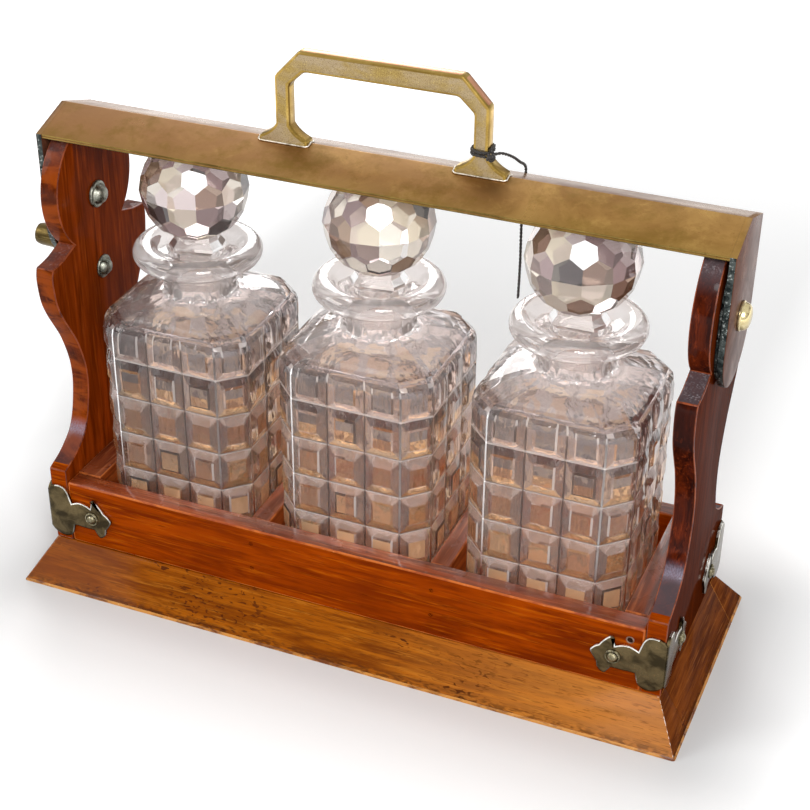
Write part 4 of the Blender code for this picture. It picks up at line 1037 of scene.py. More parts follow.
def make_uprights():
    above_rail = 0.0695
    for side, _ in SIDES:
        low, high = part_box("upright_" + side)
        name = f"upright_{side}_fretted"
        upright = sawn(name, upright_outline(), high.x - low.x, "side", (low.x + high.x) / 2)
        dress(upright, UPRIGHT_FACE, UPRIGHT_ARRIS, UPRIGHT_EDGE, RAIL_FRONT)
        soften(upright, 0.00055, angle=55, edge_look=True)
        paint(upright, RAIL_FRONT, lambda face: sawn_edge(face) and face.center.z < above_rail)
        paint(upright, UPRIGHT_EDGE, sawn_edge)
        hand_over(smooth(upright), "stand", "mahogany", "upright_" + side)


# Corner brackets with a three-lobed leaf on each face
COLUMN_TOP = (
    (-0.0015, 0.0128), (0.0004, 0.0150), (0.0030, 0.0163), (0.0060, 0.0166), (0.0086, 0.0157),
    (0.0106, 0.0130), (0.0117, 0.0095), (0.0126, 0.0064),
)
NECK_TOP = ((0.0138, 0.0070), (0.0165, 0.0080), (0.0190, 0.0081), (0.0215, 0.0075), (0.0243, 0.0062))
LOBE_TOP = ((0.0249, 0.0085), (0.0256, 0.0116), (0.0271, 0.0113), (0.0288, 0.0098), (0.0312, 0.0068))
TIP = (
    (0.0323, 0.0048), (0.0341, 0.0036), (0.0357, 0.0019), (0.0365, 0.0003), (0.0357, -0.0018),
    (0.0343, -0.0040), (0.0331, -0.0056),
)
LOBE_FOOT = ((0.0327, -0.0086), (0.0309, -0.0109), (0.0288, -0.0117), (0.0272, -0.0098), (0.0256, -0.0073))
NECK_FOOT = ((0.0225, -0.0074), (0.0190, -0.0074), (0.0155, -0.0072), (0.0134, -0.0073))
COLUMN_FOOT = (
    (0.0127, -0.0102), (0.0116, -0.0135), (0.0090, -0.0155), (0.0060, -0.0160), (0.0025, -0.0150),
    (0.0000, -0.0131), (-0.0015, -0.0110),
)
LEAF_RUNS = (COLUMN_TOP, NECK_TOP, LOBE_TOP, TIP, LOBE_FOOT, NECK_FOOT, COLUMN_FOOT)
BRACKET_HEIGHT = 0.0424
SHEET = 0.0012
FOLD = 0.0032


def leaf_outline(sign):
    """The corner column and one leaf, measured from the gallery's corner inward."""
    outline = []
    for run in LEAF_RUNS:
        outline += flowing(run, 3)
    return [(sign * reach, BRACKET_HEIGHT + height) for reach, height in outline]


def domed_leaf(name, outline, plane, place, outward):
    """A leaf whose outer face swells towards its middle line, as on a stamped mount."""
    leaf = sawn(name, outline, SHEET, plane, place)
    letter = 1 if plane == "front" else 0
    work = open_mesh(leaf, "DESELECT")
    pick(leaf, work, "faces", lambda face: face.normal[letter] * outward > 0.9)
    for depth in (0.00024, 0.00012):
        bpy.ops.mesh.inset(thickness=0.0006, depth=depth)
    return close_mesh(leaf)


def fold_round(mount, side, front):
    """The sheet is folded round the corner, so its outer edge there is round."""
    corner = Vector((side * (GALLERY_END + GAP + SHEET), front * (GALLERY_SIDE + GAP + SHEET)))

    def folded(edge):
        ends = [(vert.co.xy - corner).length < 0.0007 for vert in edge.verts]
        return all(ends) and abs(edge.verts[0].co.z - edge.verts[1].co.z) > 0.004

    pick(mount, open_mesh(mount, "DESELECT"), "edges", folded)
    bpy.ops.mesh.bevel(offset=0.0014, segments=4)
    close_mesh(mount)


def sloping(face):
    """The edge of a leaf, which faces neither straight out nor straight along."""
    return max(abs(face.normal.x), abs(face.normal.y)) < 0.95


def beyond(face, corner, radius):
    return (face.center.xy - corner).length > radius


def make_brackets():
    shift = GAP + SHEET / 2
    for row, front in ROWS:
        for column, side in SIDES:
            name = f"corner_mount_{row}_{column}"
            outline = [(side * GALLERY_END + a, up) for a, up in leaf_outline(-side)]
            mount = domed_leaf(name, outline, "front", front * (GALLERY_SIDE + shift), front)
            outline = [(front * GALLERY_SIDE + a, up) for a, up in leaf_outline(-front)]
            wing = domed_leaf(name + "_wing", outline, "side", side * (GALLERY_END + shift), side)
            combine(mount, wing, "UNION")
            fold_round(mount, side, front)
            dress(mount, NICKEL, NICKEL_EDGE)
            corner = Vector((side * GALLERY_END, front * GALLERY_SIDE))
            paint(mount, NICKEL_EDGE, lambda face: sloping(face) and beyond(face, corner, FOLD))
            hand_over(smooth(mount, 30), "stand", "nickel", f"corner_bracket_{row}_{column}")


PIN_PROFILE = (
    (0.0038, 0.0), (0.0039, 0.0005), (0.0036, 0.0010), (0.0032, 0.0010), (0.0029, 0.0005), (0.0027, 0.0003),
    (0.0026, 0.0008), (0.0023, 0.0015), (0.0017, 0.0020), (0.0009, 0.0023),
)


def make_pins():
    """Domed pin heads in their stamped rings, one in each leaf."""
    inset = 0.025
    seat = GAP + SHEET + 0.0003
    for row, front in ROWS:
        for column, side in SIDES:
            face_place = (side * (GALLERY_END - inset), front * (GALLERY_SIDE + seat), BRACKET_HEIGHT)
            side_place = (side * (GALLERY_END + seat), front * (GALLERY_SIDE - inset), BRACKET_HEIGHT)
            for face, place, outward in (
                ("front", face_place, (0, front, 0)),
                ("side", side_place, (side, 0, 0)),
            ):
                node = f"bracket_pin_{row}_{column}_{face}"
                home = ("stand", "nickel", node)
                turned(node + "_head", PIN_PROFILE, place, outward, NICKEL_PIN, *home, sides=28, angle=40)


def make_old_hole():
    """A plugged screw hole over the right-hand leaf."""
    profile = ((0.0021, 0.00002), (0.0021, 0.00018), (0.0017, 0.00024), (0.0014, 0.00010), (0.0009, 0.00004))
    plug_radius = 0.0014
    place = (GALLERY_END - 0.0176, -GALLERY_SIDE, BRACKET_HEIGHT + 0.0110)
    hole = lathe("plugged_screw_hole", profile, place, (0, -1, 0), 24)
    dress(hole, HOLE_RIM, PEG_LOOK)
    paint(hole, PEG_LOOK, lambda face: (face.center - Vector(place)).xz.length < plug_radius)
    hand_over(smooth(hole, 40), "stand", "mahogany")


# Locking bar, arms and their pivots
LIP_FOOT = 0.2452
BAR_SHEET = 0.0015
BAR_LENGTH = 2 * ARM_INNER - 0.0001
ARM_HALF = 0.0255


def make_bar():
    """A gabled sheet whose eaves turn down into a beaded lip."""
    inner = BAR_HALF - BAR_SHEET
    ceiling = RIDGE - BAR_SHEET * math.hypot(1, SLOPE)
    half = [
        (inner, LIP_FOOT),
        (BAR_HALF - 0.0003, LIP_FOOT),
        (BAR_HALF, 0.24555),
        (BAR_HALF, 0.2461),
        (BAR_HALF - 0.0004, 0.24632),
        (BAR_HALF, 0.24655),
        (BAR_HALF, EAVES),
        (0, RIDGE),
    ]
    under = [(-inner, ceiling - SLOPE * inner), (0, ceiling), (inner, ceiling - SLOPE * inner)]
    bar = sawn("gabled_locking_bar", mirrored(half) + under, BAR_LENGTH, "side", 0)
    dress(bar, BRASS["bar_brass"], BRASS["bar_back_brass"], BRASS["bar_lip_brass"])
    paint(bar, BRASS["bar_lip_brass"], lambda face: abs(face.normal.y) > 0.5)
    # Painted reflection: the back slope takes the paler, pinker copy of the brass.
    paint(bar, BRASS["bar_back_brass"], lambda face: face.normal.z > 0.8 and face.normal.y > 0.1)
    ease_edges(bar, 0.00022, lambda one, two: abs(one.x - two.x) > 0.1)
    smooth(bar, 30)
    hand_over(bar, "swinging_bar", "brass", "locking_bar")


def arm_outline():
    half = arc((0, PIVOT - 0.009), ARM_HALF, -90, 0, 26)
    return mirrored(half + [(ARM_HALF, RIDGE - SLOPE * ARM_HALF), (0, RIDGE)])


def make_arms():
    for side, sign in SIDES:
        low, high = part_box("arm_" + side)
        middle = (low.x + high.x) / 2
        arm = sawn(f"arm_{side}_plate", arm_outline(), high.x - low.x, "side", middle)
        dress(arm, BRASS["arm_brass"], BRASS["bar_brass"], ARM_RIM, BRASS["bar_back_brass"])
        ease_edges(arm, 0.00035, lambda one, two: min(sign * one.x, sign * two.x) > sign * middle)
        paint(arm, ARM_RIM, lambda face: abs(face.normal.x) < 0.3)
        # Painted reflection on the arm's upward faces, as on the bar's back slope.
        paint(arm, BRASS["bar_back_brass"], lambda face: face.normal.z > 0.6)
        paint(arm, BRASS["bar_brass"], lambda face: face.normal.z > 0.6 and face.normal.y < 0)
        hand_over(smooth(arm), "swinging_bar", "brass", "arm_" + side)


KNOB_PROFILE = (
    (0.0072, 0.0), (0.0072, 0.0007), (0.0066, 0.0012), (0.0064, 0.0022), (0.0060, 0.0032),
    (0.0048, 0.0042), (0.0030, 0.0047), (0.0012, 0.0048),
)
BOLT_PROFILE = (
    (0.0072, GAP), (0.0072, 0.0010), (0.0069, 0.0015), (0.0062, 0.0018), (0.0056, 0.0017),
    (0.0052, 0.0021), (0.0048, 0.0035), (0.0038, 0.0048), (0.0024, 0.0056), (0.0009, 0.0059),
)
BARREL_PROFILE = (
    (0.0066, GAP), (0.0066, 0.0012), (0.0061, 0.0017), (0.0059, 0.0090), (0.0056, 0.0108),
    (0.0053, 0.0120), (0.0044, 0.0123), (0.0038, 0.0121), (0.0038, 0.0113),
)
KEEPER_HEIGHT = 0.166
BARREL_PLACE = (-ARM_OUTER, -0.014, 0.186)


def make_pivots():
    for side, sign in SIDES:
        place = (sign * (ARM_OUTER + GAP), 0, PIVOT)
        name = f"pivot_knob_{side}"
        home = ("stand", "steel", name)
        turned(name + "_turned", KNOB_PROFILE, place, (sign, 0, 0), BRASS["knob_brass"], *home)
        place = (sign * UPRIGHT_INNER, 0, PIVOT)
        name = f"pivot_bolt_{side}"
        home = ("stand", "steel", name)
        turned(name + "_head", BOLT_PROFILE, place, (-sign, 0, 0), BOLT_STEEL, *home)


def make_keeper():
    """The bolt that the lock's tongue hooks on: its shank from end to end, and a smaller head."""
    shank_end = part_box("keeper_bolt")[0].x + UPRIGHT_INNER
    profile = [(0.0021, shank_end), (0.0026, shank_end + 0.0005), (0.0026, GAP)]
    profile += [(radius * 0.87, height * 0.80) for radius, height in BOLT_PROFILE]
    place = (-UPRIGHT_INNER, 0, KEEPER_HEIGHT)
    home = ("stand", "steel", "keeper_bolt")
    turned("keeper_bolt_turned", profile, place, (1, 0, 0), BOLT_STEEL, *home)


def make_lock_barrel():
    home = ("swinging_bar", "brass", "lock_barrel")
    look = BRASS["barrel_brass"]
    turned("lock_barrel_turned", BARREL_PROFILE, BARREL_PLACE, (-1, 0, 0), look, *home)


# Carry handle
HANDLE_DEPTH = 0.0077
LEG_OUT, LEG_IN = 0.054, 0.0464
FOOT_HALF = 0.013
FLARE_STEPS = 8


def handle_outline():
    """Half of the handle's outer and inner lines, from a flared foot up a leg, with the mirror image."""
    spread_out = LEG_PLACE + FOOT_HALF - LEG_OUT
    spread_in = LEG_IN - (LEG_PLACE - FOOT_HALF)
    edge = RIDGE + 0.0016
    flare = []
    for index in range(FLARE_STEPS + 1):
        angle = math.pi / 2 * index / FLARE_STEPS
        bowed = (1 - math.sin(angle), 1 - math.cos(angle))
        straight = (1 - index / FLARE_STEPS, index / FLARE_STEPS)
        out, rise = (0.45 * bow + 0.55 * line for bow, line in zip(bowed, straight))
        flare.append((out, edge + (FLARE_TOP - edge) * rise))
    outer = [(LEG_PLACE + FOOT_HALF, EAVES)]
    outer += [(LEG_OUT + spread_out * out, up) for out, up in flare]
    outer += [(LEG_OUT, HANDLE_TOP - 0.0136), (0.041, HANDLE_TOP)]
    inner = [(0.0387, HANDLE_TOP - 0.0103), (LEG_IN, HANDLE_TOP - 0.0103 - 0.007)]
    inner += [(LEG_IN - spread_in * out, up) for out, up in flare[::-1]]
    inner += [(LEG_PLACE - FOOT_HALF, EAVES)]
    return mirrored(outer) + [(-across, up) for across, up in reversed(inner)] + inner


def across_bar(face):
    """The narrow faces of the handle, short of its chamfers."""
    return face.material_index == 0 and abs(face.normal.y) < 0.5


def make_handle():
    handle = sawn("octagonal_carry_handle", handle_outline(), HANDLE_DEPTH, "front", 0)
    chamfer, copper, rubbed = (
        BRASS[name] for name in ("handle_chamfer_brass", "handle_top_copper", "rubbed_brass_edge")
    )
    dress(handle, CAST, chamfer, copper, rubbed)
    soften(handle, 0.0015, angle=34, edge_look=True)
    paint(handle, copper, lambda face: across_bar(face) and face.normal.z > 0.3 and face.center.z > 0.27)
    paint(handle, rubbed, across_bar)
    roof = [(BAR_HALF, 0.2250), (BAR_HALF, RIDGE - SLOPE * BAR_HALF + GAP), (0, RIDGE + GAP)]
    combine(handle, sawn("roof_under_feet", mirrored(roof), 0.2, "side", 0), "DIFFERENCE")
    hand_over(smooth(handle, 30), "swinging_bar", "brass", "carry_handle")


def make_solder():
    """The bright line of solder round each foot of the handle."""
    half_x, half_y, wire_radius = 0.0133, 0.0041, 0.00042
    corners = [(-1, -0.8), (-0.9, -1), (0.9, -1), (1, -0.8), (1, 0)]
    corners += [(1, 0.8), (0.9, 1), (-0.9, 1), (-1, 0.8), (-1, 0)]
    for side, sign in SIDES:
        ring = []
        for x_share, y_share in corners:
            y = y_share * half_y
            ring.append(Vector((sign * LEG_PLACE + x_share * half_x, y, RIDGE - SLOPE * abs(y) + 0.0005)))
        wire(f"solder_{side}", ring, wire_radius, 2, closed=True)
        bead = named(f"solder_bead_{side}")
        hand_over(dress(smooth(bead, 60), SOLDER), "swinging_bar", "brass")


# Decanters
SEAM, BEVEL, STEP = 0.025, 0.21, 0.26
STEPS = (0.0, SEAM, BEVEL, STEP, 0.5, 0.74, 0.79, 0.975)
DEPTHS = (1.0, 0.92, 0.30, 0.0, 0.0, 0.0, 0.30, 0.92)
CUT_DEPTH = 0.0020
HALF = 0.0434
CORNER = 0.0133
FOOT = 0.0237
ROWS_FROM = 0.0275
ROW_HEIGHT = 0.022
TOP_ROW = 5
SHOULDER = 0.1590
FLUTE_SPAN = math.tau / 12
LINE = 0.03
UPRIGHT_GLINTS = (BRIGHT_LINE, DARK_LINE, UPPER_BEVEL, SIDE_BEVEL, BROWN_WINDOW)
LEVEL_GLINTS = (SIDE_BEVEL, DARK_LINE, BROWN_WINDOW, UPPER_BEVEL, LOWER_BEVEL)


def column_points(half, corner, roundness, depth, pattern, flutes):
    """One ring of 16 columns, eight points each, from the middle of the right face round."""
    straight = half - corner
    ring = []
    for quarter in range(4):
        turn = Matrix.Rotation(quarter * math.pi / 2, 2)
        for column in range(4):
            for share, cut in zip(STEPS, DEPTHS):
                cut = max(cut * pattern, depth)
                if column < 3:
                    point = Vector((half, straight * (2 * (column + share) / 3 - 1)))
                    normal = Vector((1, 0))
                else:
                    point = Vector((half - corner * share, straight + corner * share))
                    normal = Vector((1, 1)).normalized()
                angle = math.tau * (quarter * 4 + column + share - 1.5) / 16
                point = turn @ (point - normal * cut * CUT_DEPTH)
                circle = Vector((half * math.cos(angle), half * math.sin(angle)))
                if flutes:
                    across = (angle + FLUTE_SPAN / 2) % FLUTE_SPAN - FLUTE_SPAN / 2
                    flat = math.cos(FLUTE_SPAN / 2) / math.cos(across)
                    circle *= 1 - flutes + flutes * flat
                ring.append(point.lerp(circle, roundness))
    return ring


def decanter_rings():
    """The rings from the foot up the outside, over the lip and down the bore."""
    rings = []

    def level(height, half, roundness=0.0, corner=CORNER, depth=0.0, pattern=0.0, flutes=0.0):
        ring = column_points(half, corner, roundness, depth, pattern, flutes)
        rings.append([Vector((x, y, height)) for x, y in ring])

    level(FOOT + 0.0006, HALF * 0.62)
    for rise, inset in ((0.0006, 0.0050), (0.0, 0.0034), (0.0, 0.0016), (0.0007, 0.0006), (0.0016, 0.0)):
        level(FOOT + rise, HALF - inset)
    level(0.0268, HALF, depth=0.25)
    for row in range(TOP_ROW):
        for step, depth in zip(STEPS, DEPTHS):
            level(ROWS_FROM + ROW_HEIGHT * (row + step), HALF, depth=depth, pattern=1.0)
    for height, share, depth in (
        (0.1375, 1.0, 1.0), (0.13805, 1.0, 0.92), (0.1412, 1.0, 0.30),
        (0.1422, 1.0, 0.0), (0.1465, 1.0, 0.0), (0.1510, 0.998, 0.0),
    ):
        level(height, HALF * share, depth=depth, pattern=1.0)
    for height, share, roundness, depth, pattern in (
        (0.1540, 0.988, 0.01, 0.15, 0.9), (0.1558, 0.968, 0.03, 0.55, 0.55),
        (0.1572, 0.945, 0.06, 0.5, 0.2), (0.1581, 0.925, 0.09, 0.1, 0.0),
        (0.1593, 0.885, 0.15, 0.0, 0.0), (0.1606, 0.83, 0.25, 0.0, 0.0),
        (0.1619, 0.76, 0.38, 0.0, 0.0), (0.1630, 0.68, 0.52, 0.0, 0.0),
        (0.1639, 0.60, 0.68, 0.0, 0.0), (0.1648, 0.53, 0.84, 0.0, 0.0),
    ):
        level(height, HALF * share, roundness, depth=depth, pattern=pattern)
    for height, radius, flutes in (
        (0.1657, HALF * 0.47, 0.3), (0.1667, 0.0196, 0.8), (0.1680, 0.0193, 1.0),
        (0.1755, 0.0192, 1.0), (0.1774, 0.0199, 0.7), (0.1792, 0.0225, 0.2),
        (0.1806, 0.0262, 0.0), (0.1817, 0.0293, 0.0),
    ):
        level(height, radius, 1.0, flutes=flutes)
    for angle in (-65, -45, -25, -5, 15, 35, 55, 72):
        turn = math.radians(angle)
        level(0.1870 + 0.0050 * math.sin(turn), 0.0284 + 0.0050 * math.cos(turn), 1.0)
    for height, radius in (
        (0.1919, 0.0272), (0.1917, 0.0250), (0.1911, 0.0235), (0.1898, 0.0222),
        (0.1884, 0.0198), (0.1876, 0.0165), (0.1866, 0.0138), (0.1850, 0.0122),
        (0.1820, 0.0118), (0.1740, 0.0113), (0.1650, 0.0107), (0.1625, 0.0116),
    ):
        level(height, radius, 1.0)
    bore = [
        (0.1606, 0.0165, 0.9, 0.0100), (0.1588, 0.0235, 0.55, 0.0100), (0.1560, 0.0300, 0.25, 0.0100),
        (0.1525, 0.0345, 0.08, 0.0102), (0.1480, 0.0368, 0.02, 0.0102),
    ]
    for index in range(9):
        reach = 0.0371 + 0.00045 * math.sin(2.1 * index + 0.6)
        bore.append((0.1420 - 0.0125 * index, reach, 0.01, 0.0102))
    bore += [(0.0365, 0.0360, 0.0, 0.0102), (0.0346, 0.0335, 0.02, 0.0095), (0.0342, 0.0290, 0.05, 0.0090)]
    for ring in bore:
        level(*ring)
    return rings


def wavy(rings, inner_from):
    """Hand-blown walls wander a little, more inside than out."""
    for number, ring in enumerate(rings):
        for point in ring:
            angle = math.atan2(point.y, point.x)
            reach = 0.00028 if number >= inner_from else 0.00005
            wander = math.sin(5 * angle + 90 * point.z) * math.sin(170 * point.z + 3 * angle)
            share = 1 + reach * wander / max(point.xy.length, 0.01)
            point.x *= share
            point.y *= share
    return rings


def cut_place(centre):
    """Where on its cut block a face of the outer wall lies, or nothing for the plain parts."""
    x, y, z = centre
    straight = HALF - CORNER
    reach = max(max(abs(x), abs(y)) / HALF, (abs(x) + abs(y)) / (HALF + straight))
    if reach < 0.94 or not ROWS_FROM < z < SHOULDER:
        return None
    aside = min(abs(x), abs(y))
    if aside > straight:
        across = (abs(y) - abs(x)) / (2 * CORNER) + 0.5
    elif aside > 0.955 * straight:
        across = 0.0
    else:
        across = (aside / straight + 1) / 2 * 3 % 1.0
    row, up = divmod((z - ROWS_FROM) / ROW_HEIGHT, 1)
    column = int(math.atan2(y, x) * 8 / math.pi + 40.5)
    left = int(abs(x) * y > abs(y) * x)
    return min(across, 1 - across), up, int(row), column * 2 + left


def to_rim(up, row):
    """How far a face lies from the nearer level edge of its block. The top row has one below only."""
    return up if row == TOP_ROW else min(up, 1 - up)


def cut_look(edge, up, row, half_column):
    """The glass for one face: a line between blocks, a bevel, a step or the window inside."""
    block, side = divmod(half_column, 2)
    chance = (block * 7 + row * 5 + block * row) % 5
    glint = (chance + side * 2 + row) % 5
    rim = to_rim(up, row)
    upper = up > 0.5 or row == TOP_ROW
    # Painted highlights: bright lines in the grey glass of the top row.
    if row == TOP_ROW and up > 0.60:
        if up > 0.88:
            return GLASS
        lit = edge < LINE or (glint < 3 and BEVEL < edge < STEP)
        return BRIGHT_LINE if lit else GREY_WINDOW
    if rim < SEAM:
        return BRIGHT_LINE if upper else DARK_LINE
    if edge < LINE:
        return DARK_LINE
    if min(edge, rim) < BEVEL:
        if edge < rim:
            return SIDE_BEVEL
        if row == 4 and upper:
            return GREY_WINDOW
        return UPPER_BEVEL if upper else LOWER_BEVEL
    if min(edge, rim) < STEP:
        return (UPRIGHT_GLINTS if edge < rim else LEVEL_GLINTS)[glint]
    if (row >= 4 and upper) or (row == 3 and upper and chance == 1):
        return GREY_WINDOW
    if row < 2:
        return LOW_WINDOW
    return BROWN_WINDOW if chance in (0, 3) else WINDOW


def tint_cuts(decanter):
    """The mitred corners are split, then every face of the cuts and the neck takes its glass."""
    def mitred(face):
        place = cut_place(face.calc_center_median())
        if place is None:
            return False
        edge, up, row, _ = place
        return SEAM < edge < BEVEL and SEAM < to_rim(up, row) < BEVEL

    pick(decanter, open_mesh(decanter, "DESELECT"), "faces", mitred)
    bpy.ops.mesh.quads_convert_to_tris(quad_method="LONGEST_DIAGONAL")
    close_mesh(decanter)
    for face in decanter.data.polygons:
        place = cut_place(face.center)
        if place:
            face.material_index = cut_look(*place)
        else:
            face.material_index = NECK if face.center.z > SHOULDER else GLASS


def make_decanters():
    """One pattern for all three, each with a quarter turn more than its left neighbour."""
    rings = decanter_rings()
    lip = max(range(len(rings)), key=lambda number: rings[number][0].z)
    below_bore = next(i for i in range(lip, len(rings)) if rings[i][0].z < 0.163)
    pattern = lofted("decanter_pattern", wavy(rings, below_bore))
    dress(smooth(pattern, 26), *DECANTER_GLASSES)
    tint_cuts(pattern)
    for number, name in enumerate(LEFT_TO_RIGHT):
        low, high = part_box("decanter_" + name)
        decanter = twin(pattern, f"decanter_{name}_cut")
        quarter = Matrix.Rotation(math.pi / 2 * number, 4, "Z")
        shift = Matrix.Translation(((low.x + high.x) / 2, 0, 0))
        decanter.data.transform(shift @ quarter)
        if name == "left":
            for slot, glass in enumerate(SHADED_GLASSES):
                decanter.data.materials[slot] = glass
        hand_over(decanter, "carafe_" + name, "glass", "decanter_" + name)
    bpy.data.objects.remove(pattern)


# Stoppers: a ball ground with flat facets over a faceted neck and peg
BALL = 0.0276
BALL_CENTRE = 0.2211
FACET_REACH = BALL * 0.957
NECK_CUT = BALL * 0.80
FACET_ROWS = ((10.0, 12, 0.0), (31.0, 12, 0.5), (52.0, 12, 0.0), (71.0, 6, 0.25))
FACET_GLASSES = (0, 1, 2, 1, 3, 0, 2, 1, 4, 0, 3, 1, 2, 0, 3, 2, 1, 0, 4)
PEG_RINGS = (
    (0.1972, 0.0116), (0.1944, 0.0118), (0.1915, 0.0142), (0.1900, 0.0148),
    (0.1880, 0.0126), (0.1868, 0.0109), (0.1676, 0.0099), (0.1670, 0.0085),
)


def grind(piece, direction, distance):
    """One flat facet, cut square to its direction."""
    open_mesh(piece)
    bpy.ops.mesh.bisect(
        plane_co=Vector((0, 0, BALL_CENTRE)) + direction * distance,
        plane_no=direction,
        use_fill=True,
        clear_outer=True,
    )
    close_mesh(piece)


def tint_facets(stopper, number):
    """Each flat mirrors another part of the room, so it takes one of five glasses."""
    for index, face in enumerate(stopper.data.polygons):
        above_neck = face.center.z > BALL_CENTRE - BALL * 0.81
        flat = above_neck and face.area > 0.00003
        turn = (index * 7 + number * 5) % len(FACET_GLASSES)
        face.material_index = FACET_GLASSES[turn] if flat else 0


def ground_ball():
    """A block ground to a ball, flat by flat, with its foot cut level."""
    bpy.ops.object.select_all(action="DESELECT")
    bpy.ops.mesh.primitive_cube_add(size=2.4 * BALL, location=(0, 0, BALL_CENTRE))
    ball = settle(named("stopper_pattern"))
    for elevation, count, stagger in FACET_ROWS:
        for sign in (1, -1):
            for index in range(count):
                turn = math.tau * (index + stagger) / count
                rise = math.radians(elevation) * sign
                level = math.cos(rise)
                direction = (level * math.cos(turn), level * math.sin(turn), math.sin(rise))
                grind(ball, Vector(direction), FACET_REACH)
    grind(ball, Vector((0, 0, 1)), FACET_REACH)
    grind(ball, Vector((0, 0, -1)), NECK_CUT)
    return ball


def draw_peg(ball):
    """The neck, the collar and the peg, drawn down ring by ring from the ball's foot."""
    work = open_mesh(ball, "DESELECT")
    for face in work.faces:
        face.select = face.normal.z < -0.999
    bmesh.update_edit_mesh(ball.data)
    bpy.ops.mesh.edge_face_add()
    last = BALL_CENTRE - NECK_CUT
    for height, radius in PEG_RINGS:
        bpy.ops.mesh.extrude_region_move(TRANSFORM_OT_translate={"value": (0, 0, height - last)})
        work = bmesh.from_edit_mesh(ball.data)
        for vert in work.verts:
            if vert.select:
                angle = math.atan2(vert.co.y, vert.co.x)
                vert.co = (radius * math.cos(angle), radius * math.sin(angle), height)
        bmesh.update_edit_mesh(ball.data)
        last = height
    close_mesh(ball)
    return face_out(ball)


def make_stoppers():
    ball = dress(draw_peg(ground_ball()), *STOPPER_GLASSES)
    for number, (name, degrees) in enumerate(zip(LEFT_TO_RIGHT, (285.0, 278.0, 271.0))):
        low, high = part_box("stopper_" + name)
        stopper = twin(ball, f"stopper_{name}_faceted")
        tint_facets(stopper, number)
        shift = Matrix.Translation(((low.x + high.x) / 2, 0, 0))
        stopper.data.transform(shift @ Matrix.Rotation(math.radians(degrees), 4, "Z"))
        hand_over(stopper, "plug_" + name, "glass", "stopper_" + name)
    bpy.data.objects.remove(ball)


# CAD nodes that stay, with their looks
def finish_nodes():
    looks = {
        "base_board": OAK_BOARD,
        "pivot_plate_right": ARM_RIM,
        "pivot_washer_left": BOLT_STEEL,
        "lock_core": BRASS["knob_brass"],
        "lock_tongue": BRASS["knob_brass"],
    }
    for end, _ in ROWS:
        for number in range(1, 5):
            looks[f"peg_{end}_{number}"] = PEG_LOOK
    for node, look in looks.items():
        dress(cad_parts[node], look)


# Floor, world and lamps
WHITE = (1, 1, 1, 1)


def beyond_foot(paper):
    """How far a point of the floor lies outside the foot of the stand."""
    vector = paper.place
    for operation, other in (("ABSOLUTE", (0, 0, 0)), ("SUBTRACT", (0.18, 0.068, 0)), ("MAXIMUM", (0, 0, 0))):
        vector = paper.add("ShaderNodeVectorMath", vector, other, operation=operation).outputs[0]
    return paper.add("ShaderNodeVectorMath", vector, operation="LENGTH").outputs["Value"]


def make_stage():
    """Paper that greys under the stand and glows a little where the photograph whitens."""
    bpy.ops.object.select_all(action="DESELECT")
    bpy.ops.mesh.primitive_plane_add(size=9, location=(0, 0, 0))
    floor = named("pale_floor")
    paper = Finish("white_paper", rough=0.85)
    white = paper.mix(paper.noise(0.4, 2, 0.5, 0.0), (0.93, 0.93, 0.93, 1), (0.95, 0.95, 0.95, 1))
    gap = beyond_foot(paper)
    # Painted contact shadow: the paper greys towards the foot of the stand.
    painted_contact_shadow = paper.reach(gap, 0.0, 0.035, 0.3, 0.0)
    paper.give("Base Color", paper.mix(painted_contact_shadow, white, (0.5, 0.5, 0.5, 1)))
    paper.shader.inputs["Specular IOR Level"].default_value = 0.1
    # The glow is less near the stand and behind it, which paints a soft shadow round the stand.
    near = paper.reach(gap, 0.01, 0.085, 0.0, 0.22)
    behind = paper.reach(paper.axis("Y"), 0.02, 0.14, 1.0, 0.4)
    right = paper.reach(paper.axis("X"), 0.10, 0.22, 0.0, 1.8)
    left = paper.reach(paper.axis("X"), -0.20, -0.32, 0.0, 1.8)
    near = paper.sum(near, paper.sum(behind, paper.sum(right, left, "MAXIMUM"), "MAXIMUM"))
    glow_with_painted_shadow = paper.sum(near, paper.reach(gap, 0.24, 1.3, 0.0, 0.9), "ADD")
    seen = paper.rays("Is Camera Ray", "Is Glossy Ray", "Is Transmission Ray")
    glow = paper.add("ShaderNodeEmission", WHITE, paper.sum(seen, glow_with_painted_shadow))
    paper.end_in("Material Output", "ShaderNodeAddShader", paper.shader.outputs[0], glow.outputs[0])
    dress(floor, paper.material)


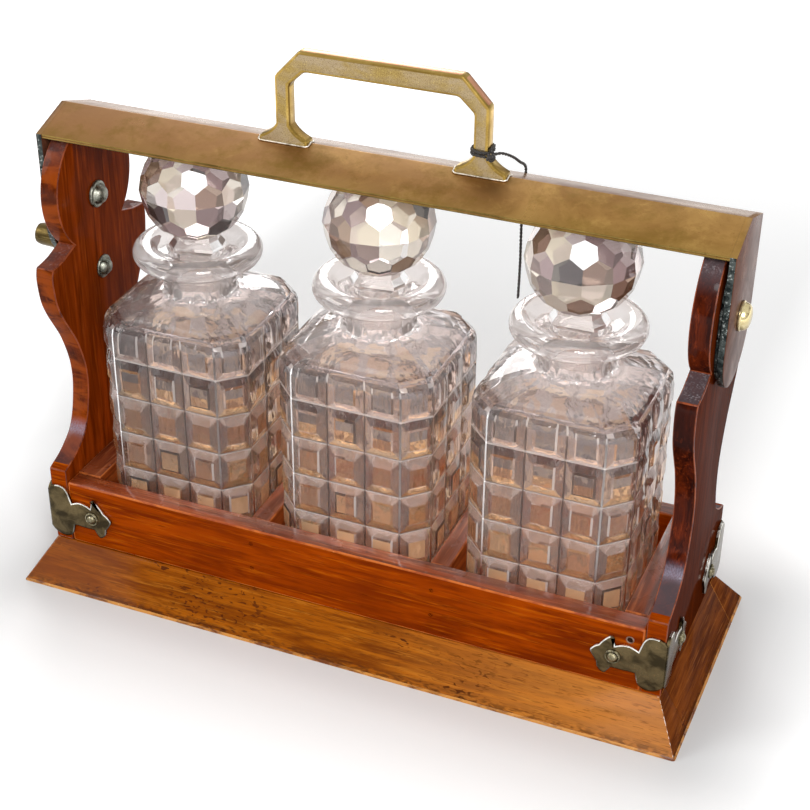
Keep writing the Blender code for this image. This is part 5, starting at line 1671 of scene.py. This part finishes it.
def make_world():
    """White to the camera, metal and glass, with the soft dark shapes of a room in what they mirror."""
    world = bpy.data.worlds.new("studio")
    bpy.context.scene.world = world
    world.use_nodes = True
    sky = Wiring(world.node_tree, "Generated")
    light = sky.tree.nodes["Background"]
    light.inputs["Color"].default_value = WHITE
    light.inputs["Strength"].default_value = 0.36
    shapes = sky.add("ShaderNodeTexNoise", sky.place)
    shapes.inputs["Scale"].default_value = 2.4
    shapes.inputs["Detail"].default_value = 1.0
    dark = sky.add("ShaderNodeValToRGB", shapes.outputs["Fac"])
    for element, position, shade in zip(
        dark.color_ramp.elements, (0.42, 0.52), ((0.17, 0.125, 0.105, 1), WHITE)
    ):
        element.position = position
        element.color = shade
    ceiling = sky.reach(sky.axis("Z"), 0.30, 0.55, kind="LINEAR")
    room = sky.add("ShaderNodeBackground", sky.mix(ceiling, dark.outputs["Color"], WHITE))
    backdrop = sky.add("ShaderNodeBackground", WHITE)
    bouncing = sky.rays("Is Glossy Ray", "Is Transmission Ray")
    lit = sky.add("ShaderNodeMixShader", bouncing, light.outputs[0], room.outputs[0])
    seen = sky.rays("Is Camera Ray")
    sky.end_in("World Output", "ShaderNodeMixShader", seen, lit.outputs[0], backdrop.outputs[0])


def add_lamp(name, place, size, power):
    lamp = bpy.data.lights.new(name, "AREA")
    lamp.shape = "SQUARE"
    lamp.size = size
    lamp.energy = power
    holder = bpy.data.objects.new(name, lamp)
    bpy.context.scene.collection.objects.link(holder)
    aim = Vector((0, 0, 0.1)) - Vector(place)
    holder.matrix_world = Matrix.Translation(place) @ aim.to_track_quat("-Z", "Y").to_matrix().to_4x4()


# Everything in its order
make_thread()
make_plinth()
make_gallery()
make_uprights()
make_brackets()
make_pins()
make_old_hole()
make_bar()
make_arms()
make_pivots()
make_keeper()
make_lock_barrel()
make_handle()
make_solder()
make_decanters()
make_stoppers()
finish_nodes()
make_stage()
make_world()
add_lamp("window_left", (-1.7, -0.8, 1.1), 0.9, 13)
add_lamp("window_right", (1.0, -1.5, 1.35), 0.9, 23)
add_lamp("back_light", (-0.9, 1.8, 1.0), 0.8, 11)
add_lamp("flash", (0.278, -0.652, 0.775), 0.14, 1.0)

bpy.context.scene.view_settings.view_transform = "Standard"
